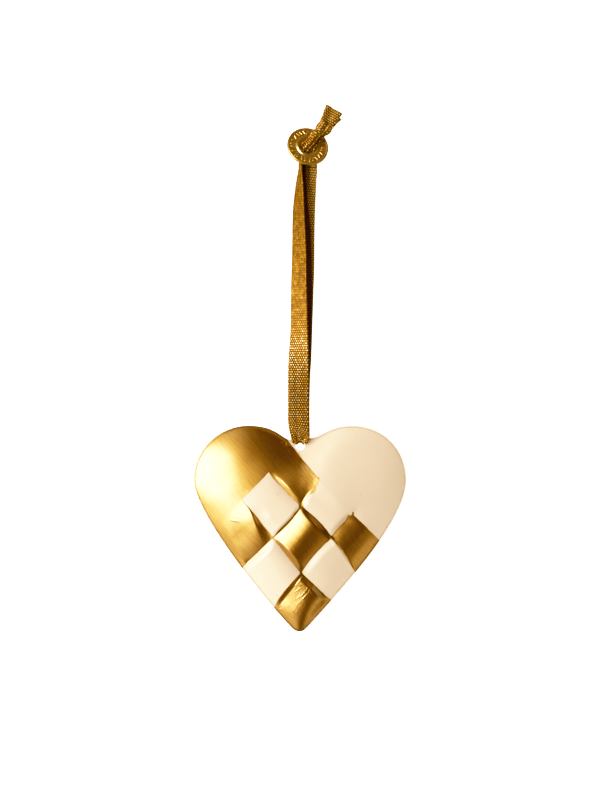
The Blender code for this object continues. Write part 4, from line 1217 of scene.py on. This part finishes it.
def shell(front):
    """Plan, heights, triangles and surface values of one pressed shell."""
    mirror = np.array([1.0 if front else -1.0, 1.0])
    if front:
        rows = weave_rows(0.30, [0, 0.07, 0.16, 0.27, 0.40, 0.54, 0.69, 0.85, 1.02, 1.20, 1.40, 1.62])
        insets = [0.02, 0.07, 0.15, 0.26, 0.38, 0.46, 0.54, 0.66, 0.84, 1.08, 1.36]
    else:
        rows = weave_rows(0.50, [0, 0.10, 0.25, 0.45, 0.70, 1.00, 1.30, 1.60])
        insets = [0.02, 0.08, 0.20, 0.36, 0.48, 0.62, 0.90, 1.30]
    a, b = np.meshgrid(rows, rows)
    body, _, _ = weave_point(a.ravel(), b.ravel())
    body = body * mirror
    body = body[(np.abs(body[:, 0]) < 34) & (np.abs(body[:, 1]) < 33)]
    body = body[inside(body, RIM_LOOP)]
    body = body[distance(body, RIM_LOOP) > insets[-1] + 0.14]
    turn = np.arange(64) * 2 * math.pi / 64
    circle = np.column_stack([np.cos(turn), np.sin(turn)])
    hole_rings = [HOLE + circle * r for r in (1.53, 1.60, 1.70, 1.84, 2.05)]
    body = body[np.linalg.norm(body - HOLE, axis=1) > 2.15]
    rings = [ring[np.linalg.norm(ring - HOLE, axis=1) > 2.12] for ring in inward_rings(insets)]
    hole_rings = [r[distance(r, RIM_LOOP) > insets[0]] for r in hole_rings]
    extra = []
    if front:
        for x0, y0, x1, y1, width, high, dark in MARKS:
            long = math.hypot(x1 - x0, y1 - y0)
            way = np.array([x1 - x0, y1 - y0]) / max(long, 1e-9)
            side = np.array([-way[1], way[0]])
            for s in np.arange(-0.3, long + 0.31, 0.13):
                for w in (-0.30, -0.20, -0.11, -0.03, 0.05, 0.14, 0.24):
                    extra.append((x0 + way[0] * s + side[0] * w, y0 + way[1] * s + side[1] * w))
        extra = np.array(extra)
        extra = extra[inside(extra, RIM_LOOP)]
        extra = extra[distance(extra, RIM_LOOP) > 1.0]
    loops = [RIM_LOOP, HOLE + circle * HOLE_RADIUS]
    cloud = [body] + ([extra] if front else [])
    points = np.vstack(loops + rings + hole_rings + cloud)
    edges, start = [], 0
    for loop in loops:
        edges += [(start + k, start + (k + 1) % len(loop)) for k in range(len(loop))]
        start += len(loop)
    plan, _, faces, _, _, _ = delaunay_2d_cdt(
        [Vector((float(x), float(y))) for x, y in points], edges,
        [list(range(RIM_COUNT))], 1, 1e-6)
    plan = np.array([tuple(p) for p in plan])
    faces = np.array([tuple(f) for f in faces])
    # none across the hole, and none of the points that fell away with them
    on_hole = (faces >= RIM_COUNT) & (faces < RIM_COUNT + 64)
    faces = faces[~on_hole.all(1)]
    p = plan[faces]
    area = ((p[:, 1, 0] - p[:, 0, 0]) * (p[:, 2, 1] - p[:, 0, 1])
            - (p[:, 1, 1] - p[:, 0, 1]) * (p[:, 2, 0] - p[:, 0, 0]))
    turned = (area > 0) != front
    faces[turned] = faces[turned][:, ::-1]
    used = np.unique(faces)
    place = np.full(len(plan), -1)
    place[used] = np.arange(len(used))
    plan, faces = plan[used], place[faces]

    rim_off = distance(plan, RIM_LOOP)
    within = inside(plan, SEAM_LOOP)
    puff = np.zeros(len(plan))
    puff[within] = inflate(plan[within], SEAM_LOOP)
    soft = np.sqrt(puff ** 2 + 0.16 ** 2) - 0.16
    die = plan * mirror
    sway = np.column_stack([0.04 * ripple(die[:, 0], die[:, 1], 6.0, 9.0),
                            0.04 * ripple(die[:, 0], die[:, 1], 7.0, 9.0)])
    a, b, size_a, size_b = weave_coords(die + sway)
    height, joint = pressed(a, b, size_a, size_b)
    height = height * smooth(puff / RIM_FADE)
    joint = joint * smooth(puff / 1.2)
    if front:
        swell = 0.8 * np.exp(-((plan[:, 0] - 9.5) ** 2 + (plan[:, 1] - 24.0) ** 2) / 42.0)
        lean = 0.135 * plan[:, 0] * smooth((-13.0 - plan[:, 1]) / 9.0)
        hollow = -0.65 * np.exp(-((plan[:, 0] + 17.8) ** 2 + (plan[:, 1] + 3.2) ** 2) / 25.0)
        bulge = (0.16 * np.exp(-((plan[:, 0] + 9.5) ** 2 + (plan[:, 1] - 3.8) ** 2) / 2.9)
                 + 0.24 * np.exp(-(plan[:, 0] - 2.2) ** 2 / 5.1 - (plan[:, 1] + 22.5) ** 2 / 30.0))
        lift = FRONT_RISE * soft / PEAK + height + (swell + lean + hollow + bulge) * smooth(puff / 3.5)
        lift += 0.035 * ripple(plan[:, 0], plan[:, 1], 3.0, 13.0) * smooth(puff / 3.0)
    else:
        away = np.linalg.norm(plan - np.array([0.0, LAND_CENTRE]), axis=1)
        plain = smooth((away - LAND_FLAT) / LAND_FADE)
        lift = BACK_RISE * soft / PEAK + RELIEF_BACK * height * plain
        joint = joint * plain
    lift = np.maximum(lift, 0.0)
    bead = FLANGE_HALF * np.sqrt(np.clip(1 - (1 - np.clip(rim_off / 0.40, 0, 1)) ** 2, 0, 1))
    groove = 0.07 * np.exp(-((rim_off - 0.47) / 0.07) ** 2)
    hole_off = np.linalg.norm(plan - HOLE, axis=1) - HOLE_RADIUS
    bevel = 0.14 * (1 - np.sqrt(np.clip(1 - (1 - np.clip(hole_off / 0.14, 0, 1)) ** 2, 0, 1)))
    high = bead - groove - bevel + lift
    dark = np.zeros(len(plan))
    smear = np.zeros(len(plan))
    if front:
        for x0, y0, x1, y1, width, ridge, shade in MARKS:
            gap = to_segment(plan, x0, y0, x1, y1)
            high += ridge * np.exp(-(gap / width) ** 2 * 1.6)
            dark = np.maximum(dark, shade * np.exp(-(gap / width) ** 2 * 2.5))
        for x0, y0, x1, y1, width, amount in SMEARS:
            gap = to_segment(plan, x0, y0, x1, y1)
            smear = np.maximum(smear, amount * smooth(1.3 - gap / width))
    z = SEAM_HEIGHT + high if front else np.maximum(SEAM_HEIGHT - high, 0.0)
    paint = painted(die, a, b, size_a, size_b)
    # foot carries painted shade: deep in the joints, on the middle strip's walls, and in this line along the
    # groove at the rim's seam
    line = 0.55 * np.exp(-((rim_off - 0.47) / 0.10) ** 2)
    return plan, z, faces, dict(paint=paint, foot=np.clip(np.maximum(joint, line), 0, 1),
                                mark=dark, smear=smear)


def make_heart(material):
    plan_f, z_f, faces_f, values_f = shell(True)
    plan_b, z_b, faces_b, values_b = shell(False)
    n, hole_count = RIM_COUNT, 64
    count = len(plan_f)
    # both shells share the rim, and the punched hole has a wall of its own
    renumber = np.arange(len(plan_b)) + count - n
    renumber[:n] = np.arange(n)
    points = np.vstack([np.column_stack([plan_f, z_f]), np.column_stack([plan_b, z_b])[n:]])
    faces_b = renumber[faces_b]
    ring_f = n + np.arange(hole_count)
    ring_b = renumber[ring_f]
    wall = np.stack([ring_f, ring_b, np.roll(ring_b, -1), np.roll(ring_f, -1)], -1)
    # the wall's faces look into the hole
    a, b, c = points[wall[0, 0]], points[wall[0, 1]], points[wall[0, 2]]
    if np.dot(np.cross(b - a, c - a)[:2], (a[:2] - HOLE)) > 0:
        wall = wall[:, ::-1]
    piece = mesh_object("painted_heart", points, [np.vstack([faces_f, faces_b]), wall], material)
    for key in values_f:
        attribute(piece, key, np.r_[values_f[key], values_b[key][n:]])
    return piece


# ============================================================ assemble
cloth = ribbon_cloth()
ribbon = make_ribbon(cloth)
knot = make_knot(cloth)
tag = make_tag(tag_brass())
heart = make_heart(heart_paint())

for piece, nodes, slot in ((ribbon, ("ribbon_loop",), "ribbon"),
                           (knot, ("ribbon_knot",), "ribbon"),
                           (tag, ("brass_tag",), "brass"),
                           (heart, ("heart",), "heart_paint")):
    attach(piece, "root")
    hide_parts(*nodes)

# The ribbon leaves the heart at the punched hole, runs up to the knot,
# and comes back to the hole; its length there is that of both strands.
turn_at = 19
up_and_back = [ROUTE[k] for k in range(turn_at, len(ROUTE))] + [ROUTE[k] for k in range(0, turn_at + 1)]
first = spline(up_and_back[:len(ROUTE) - turn_at], step=0.5)
second = spline(up_and_back[len(ROUTE) - turn_at:], step=0.5)


# ======================================================= floor and light
floor_mesh = bpy.data.meshes.new("floor")
floor_mesh.from_pydata([(-2, -2, -0.00006), (2, -2, -0.00006), (2, 2, -0.00006), (-2, 2, -0.00006)],
                       [], [(0, 1, 2, 3)])
floor = bpy.data.objects.new("floor", floor_mesh)
scene.collection.objects.link(floor)
paper = Nodes("floor_paper")
paper.set("Base Color", paper.mix(paper.noise(40.0, 2.0), (0.93, 0.93, 0.93), (0.95, 0.95, 0.95)))
paper.set("Emission Color", (1.0, 1.0, 1.0))
paper.set("Emission Strength", 1.1)
paper.set("Roughness", 0.9)
paper.set("Specular IOR Level", 0.1)
floor_mesh.materials.append(paper.material)
floor.visible_glossy = False


def softbox(name, where, wide, tall, bright, colour):
    """A rectangular lamp facing the object; bright is its radiance."""
    data = bpy.data.lights.new(name, "AREA")
    data.shape = "RECTANGLE"
    data.size, data.size_y = wide, tall
    data.energy = bright * math.pi * wide * tall
    data.color = colour
    lamp = bpy.data.objects.new(name, data)
    lamp.location = where
    lamp.rotation_mode = "QUATERNION"
    lamp.rotation_quaternion = (-Vector(where)).to_track_quat("-Z", "Y")
    scene.collection.objects.link(lamp)
    return lamp


softbox("key", (-0.715, 0.135, 0.605), 0.86, 0.86, 4.1, (1.0, 0.98, 0.95))
# shiny cards, this one in front of the lamp: seen in the metal, they light
# nothing else
card = softbox("card", (-0.714, 0.135, 0.604), 0.86, 0.86, 0.7, (1.0, 0.98, 0.95))
card.visible_diffuse = False
softbox("low_left", (-0.60, -0.64, 0.38), 1.00, 0.80, 0.58, (1.0, 0.95, 0.86))
softbox("right", (0.80, -0.55, 0.42), 0.80, 0.55, 0.27, (1.0, 0.92, 0.66))
edge = softbox("edge", (0.74, -0.68, 0.15), 0.90, 0.22, 0.8, (1.0, 0.90, 0.62))
edge.visible_diffuse = False
softbox("top", (-0.42, 0.86, 0.58), 0.60, 0.50, 0.7, (1.0, 0.95, 0.86))

# The room: soft white light from all round, but dim and brown where the
# metal mirrors it, as in a studio with few bright things to reflect.
world = bpy.data.worlds.new("studio")
scene.world = world
world.use_nodes = True
world.cycles.sampling_method = "NONE"
tree = world.node_tree
ground = tree.nodes["Background"]
ground.inputs["Color"].default_value = (1.0, 0.955, 0.80, 1.0)
ground.inputs["Strength"].default_value = 0.58
mirrored = tree.nodes.new("ShaderNodeBackground")
mirrored.inputs["Color"].default_value = (0.135, 0.068, 0.016, 1.0)
path = tree.nodes.new("ShaderNodeLightPath")
either = tree.nodes.new("ShaderNodeMixShader")
tree.links.new(path.outputs["Is Glossy Ray"], either.inputs[0])
tree.links.new(ground.outputs[0], either.inputs[1])
tree.links.new(mirrored.outputs[0], either.inputs[2])
tree.links.new(either.outputs[0], tree.nodes["World Output"].inputs["Surface"])
